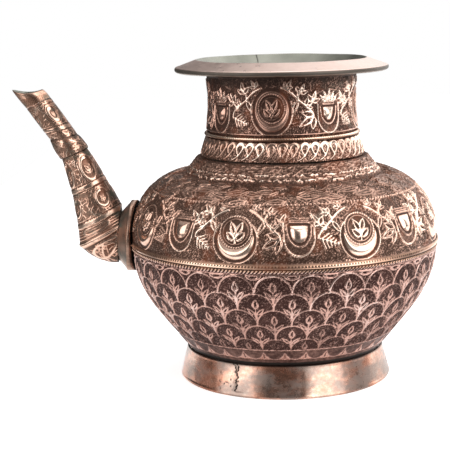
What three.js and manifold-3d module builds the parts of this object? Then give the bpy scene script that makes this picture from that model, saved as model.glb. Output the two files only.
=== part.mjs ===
// Copper water pot with a flared foot, a waisted neck, a wide rim and a long spout.
// Millimetres, +Z up. The spout points towards -X and the pot stands on its foot ring.
import * as THREE from 'three';
import { mergeVertices } from 'three/addons/utils/BufferGeometryUtils.js';
import Module from 'manifold-3d';

const wasm = await Module();
wasm.setup();

// Sheet and fits
const sheet = 1.4;
const gap = 0.3;
const turns = 48;

// Foot ring, a flared strip
const footHeight = 18.9;
const footTopRadius = 58.5;
const footBottomRadius = 62.6;
const footWall = 2.2;
const footEdge = 1.4;
const filletLeg = 2.4;

// Lower bowl
const bowlBottomHeight = 7;
const bowlBottomReach = 34;
const bowlFootSlope = 55.5;
const bowlFootPull = 23;
const bowlBellyPull = 29;

// Belly, where bowl and shoulder meet under a smooth band
const bellyRadius = 90;
const bellyHeight = 81;
const bandWidth = 4.4;
const bandProud = 1.2;

// Shoulder, up to the ledge that carries the collar
const shoulderLean = 8;
const shoulderPull = 20;
const shoulderTopPull = 19.5;
const stepRadius = 57.4;
const shoulderHeight = 41.2;
const ledgeRadius = 49.8;
const ledgeRise = 9.5;

// Conical collar and the bead on it
const collarDrop = 1.4;
const collarTopRadius = 44.8;
const collarHeight = 10.9;
const beadRadius = 1.2;

// Neck sleeve
const neckWaist = 1.6;
const neckTopRadius = 44.6;
const neckHeight = 37.1;
const neckSocket = 3;

// Bosses raised on shoulder and neck. A moon is an oval that hangs lower than its disc by a drop and
// shows outside it, up to its horns. A cup has straight sides over a half oval. Each lies at a rise
// over the foot of its piece, and the first one of its row is turned from the front, towards +X.
const bossProud = 0.8;
const bossRoot = 3;
const bossSides = 16;
const shoulderMoons = { rise: 19.2, count: 8, turn: -17, disc: [9.3, 9.4], moon: [10.7, 10.8], drop: 5, horns: 3 };
const shoulderCups = { rise: 18, count: 8, turn: 5.5, cup: [4.7, 5.2] };
const neckMoons = { rise: 18.6, count: 4, turn: -7.6, disc: [8, 8.6], moon: [10.2, 11.9], drop: 1.7, horns: 8 };
const neckCups = { rise: 15, count: 4, turn: 37.4, cup: [3.6, 4] };

// Rim flange, rolled over a wire
const throatFlare = 4.65;
const rimRise = 7.4;
const brimWidth = 13.15;
const rimDrop = 4;
const rimSheet = 0.8;
const wireRadius = 0.7;
const wireClearance = 0.2;

// Spout. A section has the place of its middle, its tilt from level in degrees, its width in the
// spout's plane and its depth across. The plate and the mitre are placed outwards from the belly and
// upwards from its joint, and each step places the next section from the one before it.
const spoutWall = 1.2;
const spoutSides = 24;
const boreRadius = 8;
const boreRise = -0.6;
const plateEdge = { out: 0.4, up: 2.6, tilt: 85.7, width: 42.4, depth: 41.2 };
const plateFlare = { out: 4.3, up: 2.7, tilt: 85.7, width: 35, depth: 33.6 };
const plateFront = { out: 7.1, up: 2.9, tilt: 85.8, width: 28.8, depth: 27.4 };
const mitre = { out: 16.1, up: 4.6, tilt: 26, width: 34.7, depth: 25.2 };
const elbowEnd = { tilt: 77, width: 24.5, depth: 23.6 };
const tubeStep = { out: 16.6, up: 47.6, tilt: 22, width: 16.6, depth: 16 };
const tubeBow = 1;
const tubeWaist = 1.8;
const kneeProud = 0.9;
const kneeStep = { out: 6.1, up: 9.7, tilt: 10.2, width: 17.2, depth: 16.2 };
const upperStep = { out: 14.1, up: 20.3, tilt: 25, width: 15.6, depth: 14 };
const beakStep = { out: 6.35, up: 8.15, tilt: 0, width: 18.7, depth: 14.4 };

const finishes = {
  patina: { color: 0x6e4b3f, roughness: 0.5, metalness: 0.9 },
  copper: { color: 0xc8825f, roughness: 0.35, metalness: 1 },
  rim: { color: 0xe8bfae, roughness: 0.35, metalness: 1 },
  solder: { color: 0x8d8c80, roughness: 0.6, metalness: 0.8 },
};

const pot = new THREE.Group();

function addPiece(name, solid, finish) {
  const mesh = new THREE.Mesh(toGeometry(solid), new THREE.MeshStandardMaterial(finishes[finish]));
  mesh.name = name;
  pot.add(mesh);
}

// Closed geometry as a solid for joining and cutting, turned so that its faces point out
function toSolid(geometry) {
  const plain = geometry.clone();
  plain.deleteAttribute('normal');
  plain.deleteAttribute('uv');
  const merged = mergeVertices(plain, 1e-4);
  const corners = new Uint32Array(merged.index.array);
  if (signedVolume(merged) < 0) {
    for (let i = 0; i < corners.length; i += 3) {
      [corners[i + 1], corners[i + 2]] = [corners[i + 2], corners[i + 1]];
    }
  }
  const vertProperties = new Float32Array(merged.attributes.position.array);
  return new wasm.Manifold(new wasm.Mesh({ numProp: 3, vertProperties, triVerts: corners }));
}

function toGeometry(solid) {
  const mesh = solid.getMesh();
  const geometry = new THREE.BufferGeometry();
  const positions = new Float32Array(mesh.vertProperties);
  geometry.setAttribute('position', new THREE.BufferAttribute(positions, 3));
  geometry.setIndex(new THREE.BufferAttribute(new Uint32Array(mesh.triVerts), 1));
  geometry.computeVertexNormals();
  return geometry;
}

function signedVolume(geometry) {
  const position = geometry.attributes.position;
  const corners = geometry.index.array;
  const [a, b, c] = [new THREE.Vector3(), new THREE.Vector3(), new THREE.Vector3()];
  let volume = 0;
  for (let i = 0; i < corners.length; i += 3) {
    a.fromBufferAttribute(position, corners[i]);
    b.fromBufferAttribute(position, corners[i + 1]);
    c.fromBufferAttribute(position, corners[i + 2]);
    volume += a.dot(b.cross(c)) / 6;
  }
  return volume;
}

// Solid of revolution about the pot's axis from [radius, height] points that go round its section
function revolve(outline) {
  const points = outline.map(([radius, height]) => new THREE.Vector2(radius, height));
  const first = points[0];
  const onAxis = first.x === 0 && points[points.length - 1].x === 0;
  if (!onAxis) points.push(first.clone());
  return toSolid(new THREE.LatheGeometry(points, turns).rotateX(Math.PI / 2));
}

function curve(start, startHandle, endHandle, end, steps) {
  const points = [start, startHandle, endHandle, end].map((point) => new THREE.Vector2(...point));
  return new THREE.CubicBezierCurve(...points).getPoints(steps).map((point) => [point.x, point.y]);
}

// Outline that climbs from the bottom, moved inwards along its normal by a distance
function moveInwards(outline, distance) {
  return outline.map(([radius, height], index) => {
    const before = outline[Math.max(index - 1, 0)];
    const after = outline[Math.min(index + 1, outline.length - 1)];
    const along = new THREE.Vector2(after[0] - before[0], after[1] - before[1]).normalize();
    return [Math.max(radius - along.y * distance, 0), height + along.x * distance];
  });
}

function shell(outline) {
  return revolve([...outline, ...moveInwards(outline, sheet).reverse()]);
}

// Radius of an outline at a height, and how far its face looks up there
function onOutline(outline, height) {
  const index = outline.findIndex((point) => point[1] > height);
  const [low, high] = [outline[index - 1], outline[index]];
  const share = (height - low[1]) / (high[1] - low[1]);
  const radius = low[0] + (high[0] - low[0]) * share;
  return { radius, lean: Math.atan2(low[0] - high[0], high[1] - low[1]) };
}

// Upright prism over an oval of half width and half height, lowered by a drop
function ovalPrism([halfWidth, halfHeight], drop = 0) {
  const geometry = new THREE.CylinderGeometry(1, 1, bossRoot * 2, bossSides).rotateX(Math.PI / 2);
  return toSolid(geometry.scale(halfWidth, halfHeight, 1).translate(0, -drop, 0));
}

function blockPrism(halfWidth, low, high) {
  const geometry = new THREE.BoxGeometry(halfWidth * 2, high - low, bossRoot * 2);
  return toSolid(geometry.translate(0, (high + low) / 2, 0));
}

function moonPrism({ disc, moon, drop, horns }) {
  const above = blockPrism(moon[0] * 2, horns, horns + moon[1] * 2);
  return ovalPrism(moon, drop).subtract(ovalPrism(disc)).subtract(above);
}

function cupPrism({ cup }) {
  const [halfWidth, halfHeight] = cup;
  return ovalPrism(cup).add(blockPrism(halfWidth, 0, halfHeight));
}

// A row of prisms set square on a shell's outline, cut to a thin skin that is rooted in the shell
function bossRow(prism, row, outline, foot) {
  const { radius, lean } = onOutline(outline, foot + row.rise);
  const upright = prism.rotate([90 - THREE.MathUtils.radToDeg(lean), 0, 0]);
  const placed = upright.translate([0, -radius, foot + row.rise]);
  const prisms = [];
  for (let index = 0; index < row.count; index += 1) {
    prisms.push(placed.rotate([0, 0, row.turn + (360 * index) / row.count]));
  }
  const skin = [...moveInwards(outline, -bossProud), ...moveInwards(outline, sheet / 2).reverse()];
  return wasm.Manifold.union(prisms).intersect(revolve(skin));
}

// Points round a circle of the section, from one angle in degrees to another
function arc(radius, height, size, from, to, steps) {
  const points = [];
  const wholeTurn = Math.abs(to - from) === 360;
  for (let step = 0; step < steps + (wholeTurn ? 0 : 1); step += 1) {
    const angle = THREE.MathUtils.degToRad(from + ((to - from) * step) / steps);
    points.push([radius + size * Math.cos(angle), height + size * Math.sin(angle)]);
  }
  return points;
}

// Points of a spout section's oval, inside its edge by an inset
function sectionPoints(section, inset) {
  const tilt = THREE.MathUtils.degToRad(section.tilt);
  const points = [];
  for (let side = 0; side < spoutSides; side += 1) {
    const angle = (2 * Math.PI * side) / spoutSides;
    const reach = (section.width / 2 - inset) * Math.cos(angle);
    const x = -bellyRadius - section.out + reach * Math.cos(tilt);
    const y = (section.depth / 2 - inset) * Math.sin(angle);
    const z = bellyHeight + section.up + reach * Math.sin(tilt);
    points.push(x, y, z);
  }
  return points;
}

// Solid through the sections in order
function loft(sections, inset = 0) {
  const positions = sections.flatMap((section) => sectionPoints(section, inset));
  const corners = [];
  const last = (sections.length - 1) * spoutSides;
  for (let side = 0; side < spoutSides; side += 1) {
    const next = (side + 1) % spoutSides;
    for (let ring = 0; ring < last; ring += spoutSides) {
      const [a, b, c, d] = [ring + side, ring + next, ring + spoutSides + side, ring + spoutSides + next];
      corners.push(a, b, d, a, d, c);
    }
    if (side > 0 && next > 0) corners.push(0, next, side, last, last + side, last + next);
  }
  const geometry = new THREE.BufferGeometry();
  geometry.setAttribute('position', new THREE.Float32BufferAttribute(positions, 3));
  geometry.setIndex(corners);
  return toSolid(geometry);
}

// Open tube through the sections: its bore runs a little past both ends
function tube(sections) {
  const first = moveSection(sections[0], -gap);
  const last = moveSection(sections[sections.length - 1], gap);
  return loft(sections).subtract(loft([first, ...sections, last], spoutWall));
}

// Section moved along the spout, square to its own tilt
function moveSection(section, distance) {
  const tilt = THREE.MathUtils.degToRad(section.tilt);
  const out = section.out + distance * Math.sin(tilt);
  const up = section.up + distance * Math.cos(tilt);
  return { ...section, out, up };
}

// Section placed from the one before it
function follow(from, step) {
  return { ...step, out: from.out + step.out, up: from.up + step.up };
}

function growSection(section, growth) {
  return { ...section, width: section.width + 2 * growth, depth: section.depth + 2 * growth };
}

// Sections between two, with the middle pushed towards the pot by a bow and narrowed by a waist
function between(start, end, steps, bow = 0, waist = 0) {
  const sections = [];
  for (let step = 0; step <= steps; step += 1) {
    const share = step / steps;
    const swell = 4 * share * (1 - share);
    const section = {};
    Object.keys(start).forEach((key) => {
      section[key] = start[key] + (end[key] - start[key]) * share;
    });
    section.out -= bow * swell;
    section.width -= waist * swell;
    sections.push(section);
  }
  return sections;
}

// Outer outlines of the body, from the bottom up
const seat = [footTopRadius + gap / 2, footHeight + gap * 2];
const footSlope = THREE.MathUtils.degToRad(bowlFootSlope);
const slopeOut = Math.cos(footSlope) * bowlFootPull;
const slopeUp = Math.sin(footSlope) * bowlFootPull;
const bowlBottom = curve(
  [0, bowlBottomHeight],
  [bowlBottomReach, bowlBottomHeight],
  [seat[0] - slopeOut / 2, seat[1] - slopeUp / 2],
  seat,
  6,
);
const bowlSide = curve(
  seat,
  [seat[0] + slopeOut, seat[1] + slopeUp],
  [bellyRadius, bellyHeight - bowlBellyPull],
  [bellyRadius, bellyHeight - gap / 2],
  10,
);
const bowlOutline = [...bowlBottom.slice(0, -1), ...bowlSide];
const lean = THREE.MathUtils.degToRad(shoulderLean);
const stepHeight = bellyHeight + shoulderHeight;
const shoulderSide = curve(
  [bellyRadius, bellyHeight + gap / 2],
  [bellyRadius + Math.sin(lean) * shoulderPull, bellyHeight + Math.cos(lean) * shoulderPull],
  [stepRadius + shoulderTopPull, stepHeight],
  [stepRadius, stepHeight],
  10,
);
const collarBottomRadius = ledgeRadius - collarDrop;
const ledgeHeight = stepHeight + ledgeRise;
const ledgeInnerRadius = collarBottomRadius - sheet * 1.5;
const shoulderOutline = [...shoulderSide, [ledgeRadius, ledgeHeight], [ledgeInnerRadius, ledgeHeight]];

// The body's filled shape, grown by a clearance
function bodyCore(growth) {
  const grown = moveInwards([...bowlOutline, ...shoulderOutline], -growth);
  grown[0][0] = 0;
  return revolve([...grown, [0, grown[grown.length - 1][1]]]);
}

// The facets of a grown core come nearest halfway along, so its clearance is a little wider
const seatGap = gap / Math.cos(Math.PI / turns);
const aroundBody = bodyCore(seatGap);

// The spout plate, filled behind, and grown by a clearance where it cuts its neighbours
function plateBlank(growth) {
  const front = moveSection(plateFront, growth);
  const flare = moveSection(plateFlare, growth);
  const edge = moveSection(plateEdge, growth);
  const back = { ...plateEdge, out: -bandProud - bellyRadius / 10 };
  return loft([back, edge, flare, front].map((section) => growSection(section, growth)));
}

const bore = toSolid(
  new THREE.CylinderGeometry(boreRadius, boreRadius, bellyRadius / 2, spoutSides)
    .rotateZ(Math.PI / 2)
    .translate(-bellyRadius, 0, bellyHeight + boreRise),
);

// Foot ring, its top bevelled to the bowl's slope
const footOutline = [
  [footBottomRadius - footEdge / 2, 0],
  [footBottomRadius, footEdge],
  [footTopRadius, footHeight],
  [footTopRadius - footWall, footHeight],
  [footBottomRadius - footWall, footEdge],
  [footBottomRadius - footWall - footEdge / 2, 0],
];
addPiece('foot_ring', revolve(footOutline).subtract(aroundBody), 'copper');

// Solder fillet in the corner between the bowl and the inside of the foot ring
const filletRadius = footTopRadius - footWall - gap;
const filletOutline = [
  [filletRadius, footHeight - footWall - filletLeg * 1.5],
  [filletRadius, footHeight],
  [filletRadius - filletLeg, footHeight],
  [filletRadius - filletLeg, footHeight - footWall - filletLeg],
];
addPiece('foot_solder', revolve(filletOutline).subtract(aroundBody), 'solder');

// Lower bowl and shoulder shell, with the hole into the spout. The bosses keep clear of the plate and
// don't stand out past the belly band.
addPiece('lower_bowl', shell(bowlOutline).subtract(bore), 'patina');
const bandOuter = bellyRadius + bandProud;
const moons = bossRow(moonPrism(shoulderMoons), shoulderMoons, shoulderSide, bellyHeight);
const cups = bossRow(cupPrism(shoulderCups), shoulderCups, shoulderSide, bellyHeight);
const withinBand = revolve([[0, 0], [bandOuter - gap, 0], [bandOuter - gap, ledgeHeight], [0, ledgeHeight]]);
const bosses = moons.add(cups).subtract(plateBlank(gap)).intersect(withinBand);
addPiece('shoulder_shell', shell(shoulderOutline).add(bosses).subtract(bore), 'patina');

// Belly band over their joint, open where the spout plate sits
const bandInner = bellyRadius + seatGap;
const bandOutline = [
  [bandInner, bellyHeight - bandWidth / 2],
  [bandOuter, bellyHeight - bandWidth / 4],
  [bandOuter, bellyHeight + bandWidth / 4],
  [bandInner, bellyHeight + bandWidth / 2],
];
const band = revolve(bandOutline).subtract(aroundBody).subtract(plateBlank(gap));
addPiece('belly_band', band, 'copper');

// Collar on the shoulder's ledge
const collarBottomHeight = ledgeHeight + gap;
const collarTopHeight = collarBottomHeight + collarHeight;
const collarOutline = [
  [collarBottomRadius, collarBottomHeight],
  [collarTopRadius, collarTopHeight],
  [collarTopRadius - sheet, collarTopHeight],
  [collarBottomRadius - sheet * 1.2, collarBottomHeight],
];
addPiece('neck_collar', revolve(collarOutline), 'patina');

// Neck sleeve, drawn in at its foot, which stands in the collar
const drawnRadius = collarTopRadius - sheet - gap * 1.5;
const beadHeight = collarTopHeight + gap + beadRadius;
const beadTop = beadHeight + beadRadius;
const neckBottomRadius = collarTopRadius - gap;
const neckWaistRadius = neckBottomRadius - neckWaist;
const neckTopHeight = collarTopHeight + neckHeight;
const neckOutline = [
  [drawnRadius, collarTopHeight - neckSocket],
  [drawnRadius, beadTop],
  ...curve(
    [neckBottomRadius, beadTop + sheet],
    [neckWaistRadius, beadTop + neckSocket * 4],
    [neckWaistRadius, neckTopHeight - neckSocket * 4],
    [neckTopRadius, neckTopHeight],
    7,
  ),
];
const neckSide = neckOutline.slice(2);
const neckBosses = bossRow(moonPrism(neckMoons), neckMoons, neckSide, collarTopHeight)
  .add(bossRow(cupPrism(neckCups), neckCups, neckSide, collarTopHeight));
addPiece('neck_sleeve', shell(neckOutline).add(neckBosses), 'patina');

// Bead round the drawn-in foot of the neck, on top of the collar
const beadCentre = drawnRadius + gap + beadRadius;
addPiece('neck_bead', revolve(arc(beadCentre, beadHeight, beadRadius, 0, 360, 8)), 'copper');

// Rim flange: a throat on the neck, a sloping brim, and a hem rolled over a wire
const hemInner = wireRadius + wireClearance;
const hemOuter = hemInner + rimSheet;
const mouthRadius = neckTopRadius + throatFlare;
const rimRadius = mouthRadius + brimWidth;
const hemRadius = rimRadius - hemOuter;
const rimHeight = neckTopHeight + rimRise;
const hemHeight = rimHeight - rimDrop - hemOuter;
const throatHeight = neckTopHeight + gap;
const brimOutline = [
  [mouthRadius, rimHeight],
  ...arc(hemRadius, hemHeight, hemOuter, 90, -180, 7),
  ...arc(hemRadius, hemHeight, hemInner, -180, 90, 7),
  [mouthRadius + rimSheet, rimHeight - rimSheet * 1.5],
  [neckTopRadius + rimSheet, throatHeight],
  [neckTopRadius + rimSheet - sheet, throatHeight],
];
addPiece('rim_flange', revolve(brimOutline), 'rim');
addPiece('rim_wire', revolve(arc(hemRadius, hemHeight, wireRadius, 0, 360, 6)), 'copper');

// Spout, from the plate on the belly to the beak
const plate = plateBlank(0).subtract(aroundBody).subtract(bore);
addPiece('spout_plate', plate, 'copper');

// The elbow's sections fan out below the mitre, round the upper end of the mitre's ridge
const pivotTilt = THREE.MathUtils.degToRad(mitre.tilt);
const pivotOut = mitre.out - (mitre.width / 2) * Math.cos(pivotTilt);
const pivotUp = mitre.up + (mitre.width / 2) * Math.sin(pivotTilt);
const fan = between({ ...mitre, out: 0 }, { ...elbowEnd, out: 0, up: 0 }, 5).map((section, index) => {
  const tilt = THREE.MathUtils.degToRad(section.tilt);
  const out = pivotOut + (section.width / 2) * Math.cos(tilt);
  const up = pivotUp - (section.width / 2) * Math.sin(tilt) - gap * (index + 1);
  return { ...section, out, up };
});
const belowPlate = plateBlank(gap);
addPiece('spout_elbow', tube(fan.reverse()).subtract(belowPlate), 'copper');

const tubeTop = follow(mitre, tubeStep);
const lowerSections = between(mitre, tubeTop, 7, tubeBow, tubeWaist);
addPiece('spout_lower_tube', tube(lowerSections).subtract(belowPlate), 'patina');

// Collar ring over the bend, then the upper tube and the plain beak
const kneeTop = follow(tubeTop, kneeStep);
const kneeStart = growSection(moveSection(tubeTop, gap), kneeProud);
const kneeMiddle = growSection(between(kneeStart, kneeTop, 2)[1], kneeProud / 2);
addPiece('spout_collar', tube([kneeStart, kneeMiddle, kneeTop]), 'copper');

const upperTop = follow(kneeTop, upperStep);
const beakTop = follow(upperTop, beakStep);
const upperStart = growSection(moveSection(kneeTop, gap), -gap);
addPiece('spout_upper_tube', tube(between(upperStart, upperTop, 4)), 'patina');
addPiece('spout_lip', tube(between(moveSection(upperTop, gap), beakTop, 3)), 'copper');

// The frame's origin is under the middle of the whole pot, spout and belly together
const reach = bellyRadius + beakTop.out + beakTop.width / 2;
pot.position.x = (reach - bandOuter) / 2;
pot.updateMatrixWorld(true);

export default pot;
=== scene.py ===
import math
import bpy
import numpy as np
from mathutils import Matrix, Vector


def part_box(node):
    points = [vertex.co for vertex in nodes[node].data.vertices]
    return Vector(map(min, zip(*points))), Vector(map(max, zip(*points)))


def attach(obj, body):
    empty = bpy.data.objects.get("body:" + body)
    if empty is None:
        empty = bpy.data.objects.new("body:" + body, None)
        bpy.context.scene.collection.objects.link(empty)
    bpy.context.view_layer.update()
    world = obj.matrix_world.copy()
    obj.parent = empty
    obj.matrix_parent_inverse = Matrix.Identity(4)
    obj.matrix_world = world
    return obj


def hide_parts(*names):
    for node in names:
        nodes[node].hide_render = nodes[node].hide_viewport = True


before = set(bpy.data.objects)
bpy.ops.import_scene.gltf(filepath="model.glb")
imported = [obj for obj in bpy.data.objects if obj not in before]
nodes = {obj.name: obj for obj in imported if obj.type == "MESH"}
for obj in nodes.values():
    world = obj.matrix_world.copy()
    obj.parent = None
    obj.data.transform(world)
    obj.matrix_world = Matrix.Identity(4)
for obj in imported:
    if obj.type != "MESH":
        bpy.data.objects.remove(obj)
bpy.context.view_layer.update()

# The pot is modelled in millimetres about its own axis, which stands off the middle of the frame
# because the spout reaches to one side. Angles run from the front, positive towards +X.


def box_mm(node):
    low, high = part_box(node)
    return np.array(low) * 1000, np.array(high) * 1000


foot_low, foot_high = box_mm("foot_ring")
bowl_low, bowl_high = box_mm("lower_bowl")
shoulder_low, shoulder_high = box_mm("shoulder_shell")
collar_low, collar_high = box_mm("neck_collar")
bead_low, bead_high = box_mm("neck_bead")
neck_low, neck_high = box_mm("neck_sleeve")
rim_high = box_mm("rim_flange")[1]
band_low, band_high = box_mm("belly_band")
AXIS_X = (foot_low[0] + foot_high[0]) / 2

# Sheet and fits
SHEET = 1.4
GAP = 0.3

# Foot ring
FOOT_HEIGHT = foot_high[2]
FOOT_RADIUS = foot_high[1]
FOOT_TOP_RADIUS = FOOT_RADIUS - 4.1
FOOT_WALL = 2.2
FOOT_EDGE = 1.4
FOOT_SEAM = -27

# Body
BELLY_RADIUS = bowl_high[1]
JOINT_HEIGHT = (bowl_high[2] + shoulder_low[2]) / 2
BOWL_SLOPE = 55.5
BOWL_FOOT_PULL = 23
BOWL_BELLY_PULL = 29
DISH_HEIGHT = bowl_low[2]
DISH_REACH = 34
SHOULDER_LEAN = 8
SHOULDER_PULL = 20
SHOULDER_TOP_PULL = 19.5
STEP_RADIUS = 57.4
STEP_HEIGHT = JOINT_HEIGHT + 41.2
LEDGE_RADIUS = 49.8
LEDGE_HEIGHT = shoulder_high[2]
PEAK_RADIUS = band_high[1]

# Collar, bead and neck
COLLAR_FOOT_RADIUS = collar_high[1]
COLLAR_TOP_RADIUS = COLLAR_FOOT_RADIUS - 3.6
BEAD_RADIUS = (bead_high[2] - bead_low[2]) / 2
BEAD_HEIGHT = (bead_low[2] + bead_high[2]) / 2
NECK_TOP = neck_high[2]
NECK_TOP_RADIUS = 44.6
NECK_FOOT_RADIUS = COLLAR_TOP_RADIUS - GAP
NECK_WAIST_RADIUS = NECK_FOOT_RADIUS - 1.6
NECK_DRAWN_RADIUS = COLLAR_TOP_RADIUS - SHEET - GAP * 1.5
NECK_WAIST_PULL = 12

# Rim
RIM_HEIGHT = rim_high[2]
RIM_RADIUS = rim_high[1]
MOUTH_RADIUS = RIM_RADIUS - 13.15
RIM_DROP = 4
RIM_SHEET = 0.8
HEM_RADIUS = 1.7
HEM_MIDDLE = (RIM_RADIUS - HEM_RADIUS, RIM_HEIGHT - RIM_DROP - HEM_RADIUS)
THROAT_SEAM = -162

# Under the spout's plate the sheet is left plain, round the hole into the spout
PLATE_HEIGHT = JOINT_HEIGHT + 2.6
PLATE_REACH = 22
BORE_RADIUS = 8
BORE_HEIGHT = JOINT_HEIGHT - 0.6

# Height of the ornament over the smooth sheet
GROUND = -0.75
LINE = 0.15
VINE = 0.1
BOSS = 0.75

# Bowl: rows of arches under a rope border, rubbed less towards the foot, and a border of leaves
# above the foot
ARCHES = 27
ARCH_TURN = -3.9
ARCH_TOPS = [FOOT_HEIGHT + rise for rise in (58.1, 48, 38.2, 28.2, 18.9, 10.6)]
ARCH_RUBS = (1, 1, 0.92, 0.75, 0.5)
LOZENGE_HEIGHT = FOOT_HEIGHT + 57.7
ROPE_FOOT = FOOT_HEIGHT + 58.7
ROPE_TWISTS = 270
ROPE_SLANT = 2.2
LEAF_BORDER_TOP = FOOT_HEIGHT + 10.3
LEAF_BORDER_HEIGHT = FOOT_HEIGHT + 6.1
LEAF_BORDER_RADIUS = 64
LEAF_BORDER_COUNT = 34

# Shoulder: medallions and shields in turn round its side, a smooth strip under them, leaves on its
# crown, and rough dashes on the slope up to the ledge
SHOULDER_COUNT = 8
SHOULDER_TURN = -17
SHOULDER_MEDALLION = {"disc": (8.8, 8.9), "moon": (10.7, 10.8), "drop": 5, "horns": 6}
SHOULDER_MEDALLION_HEIGHT = LEDGE_HEIGHT - 31.5
SHOULDER_SHIELD = {"wide": 8.4, "tall": 10.5, "cup": (4.7, 5.2)}
SHOULDER_SHIELD_HEIGHT = LEDGE_HEIGHT - 32.7
SHOULDER_STRIP_TOP = LEDGE_HEIGHT - 48.1
CROWN_FOOT = LEDGE_HEIGHT - 18.1
CROWN_LEAF_HEIGHTS = [CROWN_FOOT + rise for rise in (1.5, 3.8, 5.9, 7.7)]
CROWN_LEAVES = 27
DASH_FOOT = LEDGE_HEIGHT - 9.3
DASH_RISE = 1.15
DASH_ROWS = 7
DASHES = 84

# Collar: a row of loops
LOOPS = 46

# Neck: medallions, and shields with a flame over each
NECK_COUNT = 4
NECK_TURN = -7.6
NECK_MEDALLION = {"disc": (7.5, 8.1), "moon": (10.2, 11.9), "drop": 1.7, "horns": 12, "shine": 0.6}
NECK_MEDALLION_HEIGHT = BEAD_HEIGHT + 17.1
NECK_VINE_HEIGHT = BEAD_HEIGHT + 16.1
NECK_SHIELD = {"wide": 7.4, "tall": 9.5, "cup": (3.6, 4)}
NECK_SHIELD_HEIGHT = BEAD_HEIGHT + 13.5
NECK_FLAME_HEIGHT = BEAD_HEIGHT + 22.1

# Foot: duller patches, which deepen the dark bands of its reflections as painted shade and partly show its
# red-brown patina, as their middles and half widths in degrees, the count of specks beside the seam, and how
# far below the foot's upper edge its crack forks
FOOT_SHADE_PATCHES = ((-48, 11), (44, 10), (-4, 12))
FOOT_SPECKS = 16
FORK_LENGTH = 7

# Belly band: its back stands clear of the belly, and its ridge a little over the joint
BAND_BACK = BELLY_RADIUS + GAP
RIDGE_HEIGHT = JOINT_HEIGHT + 0.4

# Lip of the spout
LIP_DIP = 1.7

# Studio, in metres from the pot. The white table top ends in front of the pot, where the room is dark.
POT = Vector((AXIS_X / 1000, 0, 0))
CAMERA_PLACE = POT + Vector((0, -0.7938, 0.2291))
CAMERA_AIM = POT + Vector((-0.0346, 0, 0.0890))
CAMERA_ROLL = 1.18
CAMERA_LENS = 108.5
FLOOR_EDGES = (-0.3, 1.5, -0.17, 2)
FLOOR_GLOW = 0.7

# Brightness of the studio's wall for mirrors, by angle from the front in degrees, positive towards +X:
# two large soft panels beside the camera, the dark room between them, and white cloth behind the pot.
# The ceiling is plain, and so is what lies below the table top.
STUDIO_WALL = [(-180, 0.4), (-165, 0.12), (-84, 0.12), (-78, 1.0), (-33, 1.2), (-27, 0.16), (0, 0.1),
               (20, 0.14), (25, 1.25), (69, 1.25), (75, 0.2), (102, 0.3), (115, 1.25), (165, 1.3), (180, 0.8)]
STUDIO_CEILING = 0.65
STUDIO_DEPTH = 0.25

# Light of the room on everything that isn't a mirror, and the floor's own grey
ROOM_LIGHT = 0.38
FLOOR_GREY = 0.9

# Lamps: place from the pot, width and height in metres, and watts
LAMPS = {"left_panel": ((-0.84, -0.58, 0.4), (0.9, 0.9), 3),
         "right_panel": ((0.8, -0.66, 0.68), (1.1, 1.5), 7),
         "back_right_panel": ((0.95, 0.5, 0.72), (1.1, 1.5), 5.4),
         "top_panel": ((0, 0.1, 1.1), (0.9, 0.9), 4)}

# Marks that a mesh carries for its finish and for the light and shade painted into it, their values inside
# the pot and under its bottom, and how much of the texture the outside and the inside take
MARKS = ("rub_and_sheen", "dirt_and_shade", "tin")
INSIDE_MARKS = (0.3, 0.0, 1.0)
BOTTOM_MARKS = (0.45, 0.2, 0)
FINE_SHARE = 0.8
PLAIN_SHARE = 0.9

# Fineness of the meshes, in points round the pot and millimetres between rows
FINE_TURN = 1200
PLAIN_TURN = 720
FINE_ROW = 0.46
DISH_STEP = 5
DISH_COARSER = 8


# Outlines


def bezier(start, start_handle, end_handle, end):
    share = np.linspace(0, 1, 61)[:, None]
    left = 1 - share
    points = [np.array(point, float) for point in (start, start_handle, end_handle, end)]
    return (left**3 * points[0] + 3 * left**2 * share * points[1]
            + 3 * left * share**2 * points[2] + share**3 * points[3])


def lengths(outline):
    steps = np.hypot(*np.diff(outline, axis=0).T)
    return np.concatenate([[0], np.cumsum(steps)])


def even_rows(outline, step):
    """The outline again with evenly spaced points, an odd number of them"""
    outline = np.array(outline, float)
    along = lengths(outline)
    count = 2 * round(along[-1] / step / 2) + 1
    places = np.linspace(0, along[-1], count)
    return np.stack([np.interp(places, along, outline[:, axis]) for axis in (0, 1)], -1)


def outward(outline):
    """Unit normals of an outline that climbs, as radius and height"""
    slope = np.gradient(outline, axis=0)
    slope /= np.hypot(*slope.T)[:, None]
    return np.stack([slope[:, 1], -slope[:, 0]], -1)


def bowl_outline():
    seat = np.array([FOOT_TOP_RADIUS + GAP / 2, FOOT_HEIGHT + GAP * 2])
    slope = math.radians(BOWL_SLOPE)
    rise = seat + np.array([math.cos(slope), math.sin(slope)]) * BOWL_FOOT_PULL
    top = (BELLY_RADIUS, JOINT_HEIGHT - GAP / 2)
    return bezier(seat, rise, (BELLY_RADIUS, JOINT_HEIGHT - BOWL_BELLY_PULL), top)


def dish_outline():
    seat = bowl_outline()[0]
    slope = math.radians(BOWL_SLOPE)
    fall = seat - np.array([math.cos(slope), math.sin(slope)]) * BOWL_FOOT_PULL / 2
    return bezier((0, DISH_HEIGHT), (DISH_REACH, DISH_HEIGHT), fall, seat)


def shoulder_outline():
    lean = math.radians(SHOULDER_LEAN)
    foot = np.array([BELLY_RADIUS, JOINT_HEIGHT + GAP / 2])
    rise = foot + np.array([math.sin(lean), math.cos(lean)]) * SHOULDER_PULL
    crown = bezier(foot, rise, (STEP_RADIUS + SHOULDER_TOP_PULL, STEP_HEIGHT), (STEP_RADIUS, STEP_HEIGHT))
    ledge_edge = COLLAR_FOOT_RADIUS - SHEET * 1.5
    return np.concatenate([crown, [(LEDGE_RADIUS, LEDGE_HEIGHT), (ledge_edge, LEDGE_HEIGHT)]])


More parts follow.
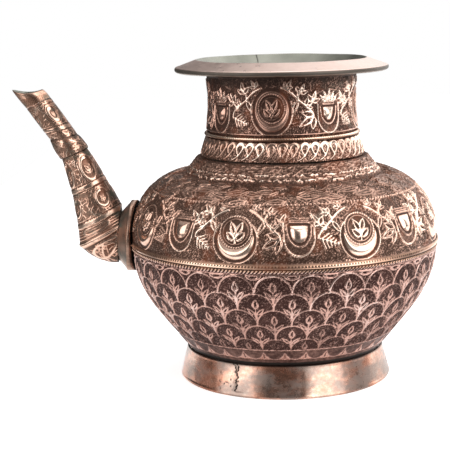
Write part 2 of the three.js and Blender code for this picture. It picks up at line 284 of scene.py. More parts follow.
def neck_outline():
    bead_top = BEAD_HEIGHT + BEAD_RADIUS
    waist_low = (NECK_WAIST_RADIUS, bead_top + NECK_WAIST_PULL)
    waist_high = (NECK_WAIST_RADIUS, NECK_TOP - NECK_WAIST_PULL)
    side = bezier((NECK_FOOT_RADIUS, bead_top + SHEET), waist_low, waist_high, (NECK_TOP_RADIUS, NECK_TOP))
    return np.concatenate([[(NECK_DRAWN_RADIUS, neck_low[2]), (NECK_DRAWN_RADIUS, bead_top)], side])


# Relief: a height map round a turned or bent piece, with marks for its finish


def soft(value, edge=1.0):
    """Smooth rise from 0 to 1 while the value goes from 0 to the edge"""
    share = np.clip(value / edge, 0, 1)
    return share * share * (3 - 2 * share)


class Relief:
    """Heights in millimetres over a piece's rows and turns. Of the marks, the first is 1 where the copper is
    rubbed bright and 0 in the dark ground, and in places it also carries painted highlights, painted
    reflections and painted light on one side. The second is 1 in soot, and also in painted shade at joints,
    under parts and on sides that face away from the light. The third is 1 where the copper is tinned."""

    def __init__(self, outline, turns):
        self.outline = outline
        self.radius, self.height = outline.T
        self.along = lengths(outline)
        self.turns = turns
        self.degrees = np.arange(turns) * 360 / turns
        self.relief = np.zeros((len(outline), turns))
        self.rub_and_sheen = np.zeros_like(self.relief)
        self.dirt_and_shade = np.zeros_like(self.relief)
        self.tin = np.zeros_like(self.relief)

    def place(self, degrees, height, half_width, half_height):
        """The part of the map near a place, and how far across and up each of its points is"""
        middle = np.interp(height, self.height, self.along)
        rows = np.nonzero(np.abs(self.along - middle) < half_height)[0]
        spacing = 2 * math.pi * np.interp(height, self.height, self.radius) / self.turns
        centre = degrees / 360 * self.turns
        reach = half_width / spacing
        columns = np.arange(math.ceil(centre - reach), math.floor(centre + reach) + 1)
        across = (columns - centre) * (2 * math.pi / self.turns) * self.radius[rows][:, None]
        up = (self.along[rows] - middle)[:, None] + 0 * across
        return np.ix_(rows, columns % self.turns), across, up

    def emboss(self, where, cover, level, rub_and_sheen):
        """Raises a shape: cover is 1 on it and 0 off it"""
        here = self.relief[where]
        self.relief[where] = np.maximum(here, here + (level - here) * cover)
        self.rub_and_sheen[where] = np.maximum(self.rub_and_sheen[where], soft(cover, 0.8) * rub_and_sheen)

    def sink(self, where, cover, level, rub_and_sheen):
        """Lays a shape over what was there, at its own level"""
        self.relief[where] += (level - self.relief[where]) * cover
        self.rub_and_sheen[where] += (rub_and_sheen - self.rub_and_sheen[where]) * cover

    def degrees_from(self, degrees):
        """How far round the piece each turn is from an angle, -180 to 180"""
        return (self.degrees - degrees + 180) % 360 - 180

    def rows(self, low, high, edge):
        """Cover of a plain band between two heights"""
        return (soft(self.height - low, edge) * soft(high - self.height, edge))[:, None]

    def lay_band(self, low, high, edge, level, rub_and_sheen, share=1):
        """Lays a plain band between two heights over what was there"""
        self.sink(slice(None), self.rows(low, high, edge) * share, level, rub_and_sheen)

    def emboss_lines(self, heights, half_width, edge, level, rub_and_sheen):
        """Raises a line all the way round at each of the heights"""
        for height in heights:
            cover = self.rows(height - half_width, height + half_width, edge) * np.ones(self.turns)
            self.emboss(slice(None), cover, level, rub_and_sheen)


def punched(relief, seed):
    """Fine uneven punch marks, about -1 to 1"""
    return np.tanh(np.random.default_rng(seed).normal(size=relief.relief.shape))


def waves(relief, seed, count, longest, shortest):
    """Gentle unevenness from a sum of seeded waves, about -1 to 1"""
    rng = np.random.default_rng(seed)
    total = np.zeros_like(relief.relief)
    mean = relief.radius.mean()
    for _ in range(count):
        length = rng.uniform(shortest, longest)
        turns = round(2 * math.pi * mean / length * rng.uniform(0.4, 1))
        rise = rng.uniform(-1, 1) / length
        phase = rng.uniform(0, 1)
        angle = relief.degrees[None, :] / 360 * turns + relief.along[:, None] * rise + phase
        total += np.sin(2 * math.pi * angle)
    return total / math.sqrt(count)


# Shapes of the ornament, on millimetres across and up


def stroke(x, y, points, width):
    """Raised line through the points"""
    nearest = np.full(x.shape, np.inf)
    for (ax, ay), (bx, by) in zip(points, points[1:]):
        dx, dy = bx - ax, by - ay
        share = np.clip(((x - ax) * dx + (y - ay) * dy) / (dx * dx + dy * dy), 0, 1)
        nearest = np.minimum(nearest, np.hypot(x - ax - share * dx, y - ay - share * dy))
    return soft(width * 0.75 - nearest, width * 0.6)


def bent(start, pull, end, steps=6):
    """Points of a bent stem from start to end, drawn towards pull"""
    share = np.linspace(0, 1, steps + 1)[:, None]
    start, pull, end = (np.array(point, float) for point in (start, pull, end))
    return list((1 - share) ** 2 * start + 2 * share * (1 - share) * pull + share**2 * end)


def oval(x, y, wide, tall):
    """How far inside an oval a point is, below 0 outside"""
    return (1 - np.hypot(x / wide, y / tall)) * min(wide, tall)


def ring(inside, width):
    """Raised line along the edge of a shape given by its inside distance"""
    return soft(width * 0.75 - np.abs(inside), width * 0.6)


def leaf(x, y, root, turn, length, width, slit=0.45):
    """Pointed leaf drawn as a broad outline round a slit, from its root in the direction turn"""
    turn = math.radians(turn)
    dx, dy = x - root[0], y - root[1]
    share = np.clip((dx * math.cos(turn) + dy * math.sin(turn)) / length, 0, 1)
    off = np.abs(dy * math.cos(turn) - dx * math.sin(turn))
    half = width / 2 * np.sin(math.pi * share**0.8)
    blade = soft(half - off + 0.25, 0.4) * (share > 0) * (share < 1)
    hole = soft(half * slit - off, 0.3) * (share > 0.15) * (share < 0.85)
    return blade * (1 - hole)


def palm(x, y, root, turn, size):
    """Leaf of three blades spread like a hand, the middle one longest"""
    total = np.zeros(x.shape)
    for spread in (-50, 0, 50):
        length = size * (1 - 0.3 * abs(spread) / 60)
        blade = leaf(x, y, root, turn + spread, length, size * 0.42)
        total = np.maximum(total, blade)
    return total


def comb(x, y, root, turn, length):
    """Feathered leaf: a rib with slanting barbs on both sides"""
    ahead = np.array([math.cos(math.radians(turn)), math.sin(math.radians(turn))])
    root = np.array(root)
    total = stroke(x, y, [root, root + ahead * length], 1)
    for barb in np.arange(0.12, 1, 0.2):
        start = root + ahead * length * barb
        for side in (-50, 50):
            lean = math.radians(turn + side)
            end = start + np.array([math.cos(lean), math.sin(lean)]) * length * 0.5 * (1.1 - barb)
            total = np.maximum(total, stroke(x, y, [start, end], 0.95))
    return total


def sprig(x, y, size):
    """Stem with two long upper leaves and two rounder lower ones"""
    total = stroke(x, y, [(0, -0.92 * size), (0, 0.2 * size)], 0.8)
    for side in (-1, 1):
        for across, up, turn, length, width, slit in ((0.06, -0.2, 22, 0.95, 0.46, 0.45),
                                                      (0.05, -0.62, 46, 0.85, 0.52, 0.4)):
            root = (side * across * size, up * size)
            blade = leaf(x, y, root, 90 - side * turn, length * size, width * size, slit)
            total = np.maximum(total, blade)
    return total


def dome(inside, reach):
    """Rounded rise from the edge of a shape, 1 from a reach inwards"""
    return 1 - (1 - np.clip(inside / reach, 0, 1)) ** 2


def raise_boss(relief, where, inside, reach, height, shine):
    """Smooth boss over a shape given by its inside distance, rubbed bright, with a dark groove round it"""
    groove = soft(inside + 0.9, 0.4) * soft(0.1 - inside, 0.3)
    relief.sink(where, groove, GROUND * 1.2, 0)
    here = relief.relief[where]
    relief.relief[where] = np.maximum(here, dome(inside, reach) * (height - GROUND) + GROUND * 1.2)
    relief.rub_and_sheen[where] = np.maximum(relief.rub_and_sheen[where], soft(inside - 0.15, 0.6) * shine)


def brightness_by_angle(degrees, times, peak, depth):
    """How bright raised work is made at an angle, in turns of brighter and duller. Seven or eight turns that
    peak near -25 degrees paint reflections: brighter where the bright panels beside the camera are mirrored,
    duller in front.
    """
    return 1 - depth / 2 + depth / 2 * math.cos(math.radians(times * (degrees - peak)))


def medallion(relief, degrees, height, disc, moon, drop, horns, shine=1.0):
    """Crescent round an oval disc with a sprig. disc and moon are half widths and half heights, the
    crescent's oval lies lower than the disc by drop, and its horns end at a height over the middle."""
    where, x, y = relief.place(degrees, height, moon[0] + 3.5, moon[1] + drop + 3.5)
    in_disc = oval(x, y, *disc)
    in_moon = oval(x, y + drop, *moon)
    outline = ring(oval(x, y + drop, moon[0] + 1.7, moon[1] + 1.7), 0.75)
    outline = outline * soft(disc[1] * 0.6 - y, 2)
    whole = soft(np.maximum(in_disc, in_moon) + 1.6, 0.8)
    relief.sink(where, whole, GROUND, 0.12)
    relief.emboss(where, outline, LINE, 0.8)
    crescent = np.minimum(np.minimum(in_moon, -in_disc - 0.35), (horns - y) * 0.35)
    raise_boss(relief, where, crescent, 3.4, BOSS, 0.8 * shine)
    beads = 0.7 + 0.3 * np.cos(np.arctan2(y, x) * 40)
    relief.emboss(where, ring(in_disc, 0.8) * beads, LINE, 0.9 * shine)
    relief.emboss(where, ring(in_disc - 1.7, 0.6), 0, 0.45 * shine)
    inner = soft(in_disc - 1.9, 0.4)
    relief.emboss(where, sprig(x, y, disc[1] * 0.9) * inner, LINE, 0.95 * shine)


def shield(relief, degrees, height, wide, tall, cup):
    """Smooth cup-shaped boss inside a stippled wall with a fine raised outline. cup is the half width
    and half height of the boss."""
    where, x, y = relief.place(degrees, height, wide + 5, tall + 6)
    narrow = cup[0] * (1 + 0.12 * np.clip(y / cup[1], -1, 1))
    in_cup = np.where(y > 0, narrow - np.abs(x), oval(x * cup[0] / narrow, y, *cup))
    in_cup = np.minimum(in_cup, cup[1] - 0.08 * x * x / cup[0] - y)
    below = np.minimum(y + tall * 0.2, 0)
    wall = wide - np.hypot(x, below * wide / (tall * 0.95))
    wall = np.minimum(wall, tall * 0.75 - y)
    relief.sink(where, soft(wall + 0.8, 0.8) * 0.6, GROUND * 0.6, 0.2)
    relief.emboss(where, ring(wall, 0.8) * (y < tall * 0.6), LINE, 0.9)
    relief.emboss(where, ring(in_cup + 1.7, 0.7) * (y < cup[1]), 0, 0.7)
    raise_boss(relief, where, in_cup, 4.4, BOSS, 0.78)
    for line in range(3):
        level = cup[1] + 1.2 + 1.3 * line
        bar = stroke(x, y, [(-cup[0] * 1.1, level), (cup[0] * 1.1, level)], 0.7)
        relief.emboss(where, bar, 0, 0.6)


def vine(relief, degrees, height, side, seed):
    """Branching stem with large three-bladed leaves, on one side of a medallion"""
    rng = np.random.default_rng(seed)
    where, x, y = relief.place(degrees, height, 32, 18)
    x = x * side

    def near(px, py):
        return (px + rng.uniform(-0.5, 0.5), py + rng.uniform(-0.5, 0.5))

    fork, knot, foot = near(15, 5.5), near(20.5, 1), near(24, -4)
    stems = [bent(near(6, 12.4), (11, 10.5), fork), bent(fork, (18, 3.5), knot), bent(knot, (24, -1), foot),
             bent(fork, (14, 8.5), near(17.5, 12)), bent(knot, (24, 4), near(25.5, 9))]
    total = np.zeros(x.shape)
    for stem in stems:
        total = np.maximum(total, stroke(x, y, stem, 1.45))
    big = comb if rng.uniform() < 0.3 else palm
    total = np.maximum(total, big(x, y, foot, 207 + rng.uniform(-8, 8), rng.uniform(10, 11.5)))
    total = np.maximum(total, leaf(x, y, fork, 245 + rng.uniform(-8, 8), 8.5, 3.2))
    palms = (((16.5, 9.5), 65, 6.5), ((23, 3.5), 62, 8), ((8.5, 12.5), 55, 5), ((19, 2), 20, 5.5))
    for root, turn, size in palms:
        turn += rng.uniform(-12, 12)
        total = np.maximum(total, palm(x, y, near(*root), turn, size * rng.uniform(0.9, 1.12)))
    # Painted reflection: the vines are brighter and duller by their angle round the pot
    shine = brightness_by_angle(degrees + side * 12, 8, -28, 0.3)
    relief.emboss(where, total, VINE, shine)


def scribble(relief, seed, count, low, high, rub_and_sheen):
    """Short curved strokes all over a stretch between two heights"""
    rng = np.random.default_rng(seed)
    for _ in range(count):
        degrees, height = rng.uniform(0, 360), rng.uniform(low, high)
        where, x, y = relief.place(degrees, height, 3.5, 3.5)
        turn = rng.uniform(0, math.pi)
        end = np.array([math.cos(turn), math.sin(turn)]) * rng.uniform(1.2, 2.4)
        pull = np.array([-end[1], end[0]]) * rng.uniform(-0.8, 0.8)
        cover = stroke(x, y, bent(-end, pull, end, 4), 0.55)
        cover *= (relief.height[where[0]] > low) * (relief.height[where[0]] < high)
        relief.emboss(where, cover, 0, rub_and_sheen * rng.uniform(0.6, 1.1))


def rope_hatch(relief):
    """Slanting twists of a rope border, 1 on a twist and 0 between two"""
    turns = relief.degrees[None, :] / 360 * ROPE_TWISTS - relief.height[:, None] / ROPE_SLANT
    return soft(0.5 + 0.8 * np.cos(2 * math.pi * turns))


def even_border(relief, height, width, level, rub_and_sheen, beads=0):
    """Raised line round the pot, dotted with beads where they are counted"""
    cover = relief.rows(height - width / 2, height + width / 2, width * 0.4)
    if beads:
        cover = cover * (0.55 + 0.45 * np.cos(np.radians(relief.degrees) * beads))[None, :]
    relief.relief = np.maximum(relief.relief, relief.relief + (level - relief.relief) * cover)
    relief.rub_and_sheen = np.maximum(relief.rub_and_sheen, cover * rub_and_sheen)


def chase_ground(relief, seed, depth, shine):
    """Punches the bare sheet all over, so that it glints in fine specks, before the ornament is laid on"""
    marks = punched(relief, seed)
    worn = np.clip(0.9 + 0.12 * waves(relief, seed + 1, 9, 40, 9), 0.6, 1.2)
    relief.relief += depth * (marks - 0.6)
    relief.rub_and_sheen += shine * soft(marks, 0.9) * worn


def paint_right_side_light(relief, share=0.3, peak=70):
    """Painted light: the pot is made brighter on the side away from the spout, where the light falls from,
    and duller towards the spout
    """
    relief.rub_and_sheen *= 1 + share * np.cos(np.radians(relief.degrees - peak))[None, :]


# Pieces of mesh


class Skin:
    """Points, triangles, texture places and marks of one piece, gathered as arrays"""

    def __init__(self):
        self.points, self.marks, self.corners, self.places = [], [], [], []
        self.count = 0

    def add_points(self, points, marks):
        shape = points.shape[:-1]
        self.points.append(points.reshape(-1, 3))
        self.marks.append(np.broadcast_to(marks, shape + (3,)).reshape(-1, 3))
        first = self.count
        self.count += len(self.points[-1])
        return np.arange(first, self.count).reshape(shape)

    def add_faces(self, corners, places):
        """Triangles from rows of corners, each with its place on the texture"""
        self.corners.append(np.stack(corners, -1).reshape(-1, 3))
        self.places.append(np.stack(places, -2).reshape(-1, 3, 2))

    def add_grid(self, ids, patch, keep=None, flip=False):
        """Skins a grid that goes all the way round"""
        rows, turns = ids.shape
        keep = np.ones((rows - 1, turns), bool) if keep is None else keep
        row, turn = np.nonzero(keep)
        # a, b, c and d go round each cell, and pa to pd are their places on the texture
        a, b = ids[row, turn], ids[row, (turn + 1) % turns]
        c, d = ids[row + 1, (turn + 1) % turns], ids[row + 1, turn]
        low, high = row / (rows - 1), (row + 1) / (rows - 1)
        pa, pb = patch(low, turn, turn, turns), patch(low, turn + 1, turn, turns)
        pc, pd = patch(high, turn + 1, turn, turns), patch(high, turn, turn, turns)
        if flip:
            b, d, pb, pd = d, b, pd, pb
        self.add_faces((a, b, c), (pa, pb, pc))
        self.add_faces((a, c, d), (pa, pc, pd))

    def add_fans(self, fine, coarse, fine_places, coarse_places, flip):
        """Joins rows of fine points, one more than a fan's steps, to pairs of coarse ones"""
        steps = fine.shape[1] - 1
        for step in range(steps):
            near = 0 if step < steps / 2 else 1
            trio = (fine[:, step], fine[:, step + 1], coarse[:, near])
            places = (fine_places[:, step], fine_places[:, step + 1], coarse_places[:, near])
            self.add_faces(trio[::-1] if flip else trio, places[::-1] if flip else places)
        middle = (steps + 1) // 2
        trio = (fine[:, middle], coarse[:, 1], coarse[:, 0])
        places = (fine_places[:, middle], coarse_places[:, 1], coarse_places[:, 0])
        self.add_faces(trio[::-1] if flip else trio, places[::-1] if flip else places)

    def build(self, name):
        """Makes the mesh, in metres in the shared frame"""
        mesh = bpy.data.meshes.new(name)
        points = np.concatenate(self.points) / 1000
        points[:, 0] += AXIS_X / 1000
        corners = np.concatenate(self.corners)
        mesh.vertices.add(len(points))
        mesh.vertices.foreach_set("co", points.astype(np.float32).ravel())
        mesh.loops.add(corners.size)
        mesh.loops.foreach_set("vertex_index", corners.astype(np.int32).ravel())
        mesh.polygons.add(len(corners))
        mesh.polygons.foreach_set("loop_start", np.arange(0, corners.size, 3, dtype=np.int32))
        mesh.update(calc_edges=True)
        texture = mesh.uv_layers.new(name="OFBake")
        texture.data.foreach_set("uv", np.concatenate(self.places).astype(np.float32).ravel())
        marks = np.concatenate(self.marks)
        for index, mark in enumerate(MARKS):
            layer = mesh.attributes.new(mark, "FLOAT", "POINT")
            layer.data.foreach_set("value", marks[:, index].astype(np.float32))
        mesh.polygons.foreach_set("use_smooth", np.ones(len(corners), bool))
        piece = bpy.data.objects.new(name, mesh)
        bpy.context.scene.collection.objects.link(piece)
        return piece


def patch(low, high, folds):
    """A strip of the texture between two heights, on which a turn of the piece is folded"""

    def where(share, turn, cell, turns):
        fold = cell * folds // turns
        across = turn * folds / turns - fold
        up = low + (high - low) * (fold + 0.03 + 0.9 * share) / folds
        return np.stack([0.01 + 0.98 * across, up + 0 * across], -1)

    return where


def marks_of(relief):
    """The three marks of each point, in the order of MARKS"""
    return np.stack([np.clip(relief.rub_and_sheen, 0, 1), np.clip(relief.dirt_and_shade, 0, 1), relief.tin], -1)


def turned_points(outline, relief, degrees):
    """Points of a turned surface, pushed out along its normal by a relief"""
    normal = outward(outline)
    radius = outline[:, :1] + normal[:, :1] * relief
    height = outline[:, 1:] + normal[:, 1:] * relief
    angle = np.radians(degrees)[None, :]
    return np.stack([radius * np.sin(angle), -radius * np.cos(angle), height], -1)


def add_sheet(skin, outside, marks, inside, folds, hole=None, open_foot=False):
    """Closed sheet metal: a fine outside, an inside of half as many points, and edges between them.
    hole is a cover of the inside grid's cells that are cut away."""
    outer = skin.add_points(outside, marks)
    inner = skin.add_points(inside, INSIDE_MARKS)
    rows, turns = inner.shape
    keep = np.ones((rows - 1, turns), bool) if hole is None else ~hole
    fine_patch = patch(0, FINE_SHARE, folds)
    skin.add_grid(outer, fine_patch, np.repeat(np.repeat(keep, 2, 0), 2, 1))
    skin.add_grid(inner, patch(FINE_SHARE + 0.01, PLAIN_SHARE, 1), keep, flip=True)
    padded = np.pad(keep, ((1, 1), (0, 0)))
    padded[0] = open_foot
    row, turn = np.nonzero(keep)
    sides = [(padded[row, turn], (0, 0), (0, 1)), (padded[row + 2, turn], (1, 1), (1, 0)),
             (keep[row, turn - 1], (1, 0), (0, 0)), (keep[row, (turn + 1) % turns], (0, 1), (1, 1))]
    for covered, start, end in sides:
        bare = ~covered
        add_edges(skin, outer, inner, row[bare], turn[bare], start, end, fine_patch)
    return outer, inner


def add_edges(skin, outer, inner, row, turn, start, end, fine_patch):
    """Edge faces along one side of the chosen inside cells, between the two faces of the sheet"""
    if not len(row):
        return
    rows, turns = inner.shape
    fine, places = [], []
    for share in (0, 0.5, 1):
        fine_row = 2 * (row + start[0]) + round(2 * share * (end[0] - start[0]))
        fine_turn = 2 * (turn + start[1]) + round(2 * share * (end[1] - start[1]))
        fine.append(outer[fine_row, fine_turn % (2 * turns)])
        places.append(fine_patch(fine_row / (2 * rows - 2), fine_turn, 2 * turn, 2 * turns))
    coarse = [inner[row + corner[0], (turn + corner[1]) % turns] for corner in (start, end)]
    lift = np.array([0, 0.004]) * (1 if start[0] + end[0] else -1)
    coarse_places = [places[0] + lift, places[2] + lift]
    skin.add_fans(np.stack(fine, 1), np.stack(coarse, 1), np.stack(places, 1),
                  np.stack(coarse_places, 1), flip=True)


def dress(piece, node, material):
    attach(piece, "root")
    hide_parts(node)
    piece.data.materials.append(material)


def turned_sheet(relief, folds, hole=None, open_foot=False):
    """A turned sheet with relief outside, which shows softly on its back as well"""
    skin = Skin()
    outside = turned_points(relief.outline, relief.relief, relief.degrees)
    back = np.clip(relief.relief[::2, ::2] * 0.6, -0.3, 0.3)
    inside = turned_points(relief.outline[::2], back - SHEET, relief.degrees[::2])
    rows = add_sheet(skin, outside, marks_of(relief), inside, folds, hole, open_foot)
    return skin, *rows


def turned_ring(name, relief, folds=3):
    """A solid ring whose outline goes round its section and closes on itself"""
    skin = Skin()
    points = turned_points(relief.outline, relief.relief, relief.degrees)[:-1]
    ids = skin.add_points(points, marks_of(relief)[:-1])
    skin.add_grid(np.concatenate([ids, ids[:1]]), patch(0, 1, folds))
    return skin.build(name)


def add_dish(skin, side, side_back):
    """Dished bottom of the bowl, inside the foot ring, joined to the lowest row of its side"""
    outline = even_rows(dish_outline(), DISH_STEP)[1:-1]
    turns = len(side) // DISH_COARSER
    degrees = np.arange(turns) * 360 / turns
    low, middle, high = PLAIN_SHARE + 0.01, PLAIN_SHARE + 0.05, 0.99
    strips = [(side, 0, patch(low, middle, 1), False),
              (side_back, SHEET, patch(middle + 0.01, high, 1), True)]
    for row, depth, strip, flip in strips:
        marks = INSIDE_MARKS if flip else BOTTOM_MARKS
        ids = skin.add_points(turned_points(outline, -depth + 0 * degrees, degrees), marks)
        skin.add_grid(ids, strip, flip=flip)
        centre = skin.add_points(np.array([[0, 0, outline[0, 1] + depth]]), marks)[0]
        turn = np.arange(turns)
        start, end = ids[0], np.roll(ids[0], -1)
        spots = [strip(-0.4, turn + 0.5, turn, turns), strip(0, turn + 1, turn, turns),
                 strip(0, turn, turn, turns)]
        corners = [np.full(turns, centre), end, start]
        skin.add_faces(corners[::-1] if flip else corners, spots[::-1] if flip else spots)
        steps = len(row) // turns
        fine_turn = turn[:, None] * steps + np.arange(steps + 1)
        fine_spots = strip(1.08, fine_turn / steps, turn[:, None], turns)
        coarse_turn = turn[:, None] + np.arange(2)
        coarse_spots = strip(1, coarse_turn, turn[:, None], turns)
        coarse = ids[-1][coarse_turn % turns]
        skin.add_fans(row[fine_turn % len(row)], coarse, fine_spots, coarse_spots, flip=not flip)


def engrave_bowl(relief):
    """Rows of arches laid like scales, each with a sprout"""
    rng = np.random.default_rng(13)
    relief.relief[:] = -0.4
    chase_ground(relief, seed=11, depth=0.25, shine=0.44)
    for row, (apex, fade) in enumerate(zip(ARCH_TOPS, ARCH_RUBS)):
        drop = np.interp(apex, relief.height, relief.along)
        drop -= np.interp(ARCH_TOPS[row + 1], relief.height, relief.along)
        radius = np.interp(apex, relief.height, relief.radius)
        half = math.pi * radius / ARCHES
        for scale in range(ARCHES):
            degrees = ARCH_TURN + 360 / ARCHES * (scale + row % 2 / 2)
            where, x, y = relief.place(degrees, apex - 0.4, half * 1.15, drop * 2.2)
            across = x * radius / relief.radius[where[0]]
            # Painted highlight, partly real engraving: each arch's line is drawn wider on its left, where the
            # light falls from
            width = rng.uniform(0.6, 0.85) * (1 - 0.4 * across / half)
            line = ring(oval(across, y + drop, half, drop), width) * soft(y + drop * 1.1, 0.8)
            relief.emboss(where, line, 0.1, rng.uniform(0.6, 0.95) * fade)
            sprout = bowl_sprout(x, y + drop * 0.85, drop, half, rng.uniform(-6, 6))
            relief.emboss(where, sprout, 0.05, rng.uniform(0.5, 0.95) * fade)
    hang_lozenges(relief)
    border_bowl_foot(relief)
    rope(relief, ROPE_FOOT, JOINT_HEIGHT)
    # Painted light from the right side of the pot
    paint_right_side_light(relief, share=0.12)
    # Painted shade, partly soot: the bowl's lowest rows, in the gap above the foot, are darkened
    relief.dirt_and_shade += soft(FOOT_HEIGHT + 1.9 - relief.height, 0.5)[:, None]


def bowl_sprout(x, y, drop, half, lean):
    """Leaf with a slit on a long stem, with an arm to each side"""
    total = stroke(x, y, [(0, 0.1 * drop), (0, -0.85 * drop)], 0.6)
    total = np.maximum(total, leaf(x, y, (0, -0.82 * drop), 90, 0.7 * drop, 1.5, 0))
    total = np.maximum(total, leaf(x, y, (0, -0.1 * drop), 90 + lean, 0.64 * drop, 0.38 * half, 0.5))
    for side in (-1, 1):
        root = (side * 0.05 * half, -0.48 * drop)
        total = np.maximum(total, leaf(x, y, root, 90 - side * 42, 0.62 * drop, 0.24 * half))
    return total


def hang_lozenges(relief):
    """Half ovals with a slit, which hang between the first arches"""
    for scale in range(ARCHES):
        degrees = ARCH_TURN + 360 / ARCHES * (scale + 0.5)
        where, x, y = relief.place(degrees, LOZENGE_HEIGHT, 8, 4)
        inside = np.minimum(oval(x, y, 4.3, 2.3), 0.5 - y)
        hole = soft(oval(x, y + 0.65, 2.7, 0.85), 0.3)
        relief.emboss(where, soft(inside + 0.2, 0.4) * (1 - hole), 0.08, 0.7)
    even_border(relief, LOZENGE_HEIGHT + 0.5, 0.7, 0.12, 0.7)


def border_bowl_foot(relief):
    """Zigzag of small leaves on a smoother strip above the foot"""
    relief.lay_band(FOOT_HEIGHT, LEAF_BORDER_TOP, 0.4, -0.3, 0.24)
    even_border(relief, LEAF_BORDER_TOP + 0.1, 0.8, 0.05, 0.75)
    half = math.pi * LEAF_BORDER_RADIUS / LEAF_BORDER_COUNT
    for index in range(LEAF_BORDER_COUNT):
        where, x, y = relief.place(index * 360 / LEAF_BORDER_COUNT, LEAF_BORDER_HEIGHT, 7, 6)
        zigzag = np.zeros(x.shape)
        for side in (-half, half):
            line = bent((side, -2.8), (side * 0.35, -3), (0, 3.2))
            zigzag = np.maximum(zigzag, stroke(x, y, line, 0.7))
        relief.emboss(where, zigzag, 0.05, 0.5)
        triangle = soft(np.minimum(y + 3.2, 2.4 - y - 1.5 * np.abs(x)), 0.5)
        slit = soft(0.45 - np.abs(x), 0.3) * soft(y + 2.2, 0.4)
        relief.emboss(where, triangle * (1 - slit), 0.05, 0.64)


def rope(relief, low, high):
    """Slanting hatches of the rope border"""
    hatch = rope_hatch(relief)
    cover = relief.rows(low, high, 0.3)
    relief.sink(slice(None), cover, 0.6 * hatch - 0.5, 0.95 * hatch)


def raise_shoulder(relief):
    relief.relief[:] = GROUND
    chase_ground(relief, seed=21, depth=0.25, shine=0.5)
    places = [SHOULDER_TURN + 360 / SHOULDER_COUNT * index for index in range(SHOULDER_COUNT)]
    scribble(relief, 23, 480, LEDGE_HEIGHT - 46.7, CROWN_FOOT - 0.6, 0.45)
    scribble(relief, 24, 420, CROWN_FOOT + 0.4, DASH_FOOT - 0.3, 0.42)
    for index, degrees in enumerate(places):
        vine(relief, degrees, SHOULDER_MEDALLION_HEIGHT, 1, seed=100 + index)
        vine(relief, degrees, SHOULDER_MEDALLION_HEIGHT, -1, seed=200 + index)
    for degrees in places:
        medallion(relief, degrees, SHOULDER_MEDALLION_HEIGHT, **SHOULDER_MEDALLION)
        shield(relief, degrees + 180 / SHOULDER_COUNT, SHOULDER_SHIELD_HEIGHT, **SHOULDER_SHIELD)
    relief.lay_band(JOINT_HEIGHT - 1, SHOULDER_STRIP_TOP, 0.5, -0.3, 0.3)
    lay_crown_leaves(relief)
    rough_dashes(relief)
    even_border(relief, CROWN_FOOT, 1.3, 0.1, 0.8, beads=230)
    # Painted light from the right side of the pot
    paint_right_side_light(relief, share=0.2, peak=45)


def lay_crown_leaves(relief):
    """Long outlined leaves that lie along the crown of the shoulder"""
    rng = np.random.default_rng(31)
    for row, height in enumerate(CROWN_LEAF_HEIGHTS):
        for index in range(CROWN_LEAVES):
            degrees = (index + row * 0.38) * 360 / CROWN_LEAVES + rng.uniform(-2, 2)
            where, x, y = relief.place(degrees, height, 19, 9)
            lean = 180 * (rng.uniform() < 0.6) + rng.uniform(-20, 20)
            length = rng.uniform(11, 16)
            total = leaf(x, y, (0, 0), lean, length, 4.8, 0.7)
            rib = length * 0.8 * np.array([math.cos(math.radians(lean)), math.sin(math.radians(lean))])
            total = np.maximum(total, stroke(x, y, [(0, 0), rib], 0.65))
            for turn in (-38, 36):
                total = np.maximum(total, leaf(x, y, (0, 0), lean + turn, rng.uniform(6, 9), 2.8, 0.6))
            shine = 0.72 * brightness_by_angle(degrees, 1, -95, 0.55)
            whole = np.maximum(total, leaf(x, y, (0, 0), lean, length + 1, 6, 0))
            relief.sink(where, soft(whole, 0.6) * 0.7, -0.5, 0.15)
            relief.emboss(where, total, -0.1, rng.uniform(0.75, 1.05) * shine)


def rough_dashes(relief):
    """Rows of rough dashes on the slope up to the ledge, two of them rubbed bright"""
    rng = np.random.default_rng(41)
    relief.lay_band(DASH_FOOT, LEDGE_HEIGHT + 0.2, 0.3, -0.55, 0.2, share=0.6)
    for row in range(DASH_ROWS):
        height = DASH_FOOT + 1 + DASH_RISE * row
        bright = 0.45 + 0.6 * (row in (0, 2))
        for index in range(DASHES):
            degrees = (index + row * 0.37) * 360 / DASHES + rng.uniform(-1.8, 1.8)
            where, x, y = relief.place(degrees, height + rng.uniform(-0.3, 0.3), 3.6, 2.4)
            wide = rng.uniform(0.9, 2.3)
            arch = [(-wide, rng.uniform(-0.7, 0)), (0, rng.uniform(-0.3, 0.6)), (wide, rng.uniform(-0.7, 0))]
            relief.emboss(where, stroke(x, y, arch, rng.uniform(0.7, 1)), rng.uniform(-0.1, 0.2),
                          bright * rng.uniform(0.6, 1.05))


def raise_collar(relief):
    """Row of drop-shaped loops with tails that sweep down to the left"""
    rng = np.random.default_rng(51)
    relief.relief[:] = -0.45
    chase_ground(relief, seed=52, depth=0.2, shine=0.66)
    middle = (collar_low[2] + collar_high[2]) / 2
    for index in range(LOOPS):
        degrees = index * 360 / LOOPS
        # Painted reflection: the loops are brighter and duller by their angle round the collar, dull in front
        rub_and_sheen = rng.uniform(0.85, 1.05) * brightness_by_angle(degrees, 7, -25, 0.4)
        where, x, y = relief.place(degrees, middle + 1.2, 5.5, 9)
        across = x - 0.12 * y
        width = 2 * np.clip(1 + y * 0.17, 0.15, 1.3)
        drop = (1 - np.maximum(np.abs(across) / width, np.hypot(across / width, y / 3.6))) * 2
        tail = stroke(x, y, bent((-0.4, -2.6), (-0.9, -4.8), (-4.2, -6)), 0.9)
        relief.emboss(where, np.maximum(ring(drop - 0.1, 1.65), tail), 0.2, rub_and_sheen)
        tick = stroke(x, y, bent((2.8, -1), (3.4, -3.5), (1.6, -5.4)), 0.6)
        relief.emboss(where, tick, -0.1, 0.35)
    even_border(relief, collar_high[2] - 1.1, 0.9, 0.1, 0.7, beads=160)
    # Painted light from the right side of the pot
    paint_right_side_light(relief)


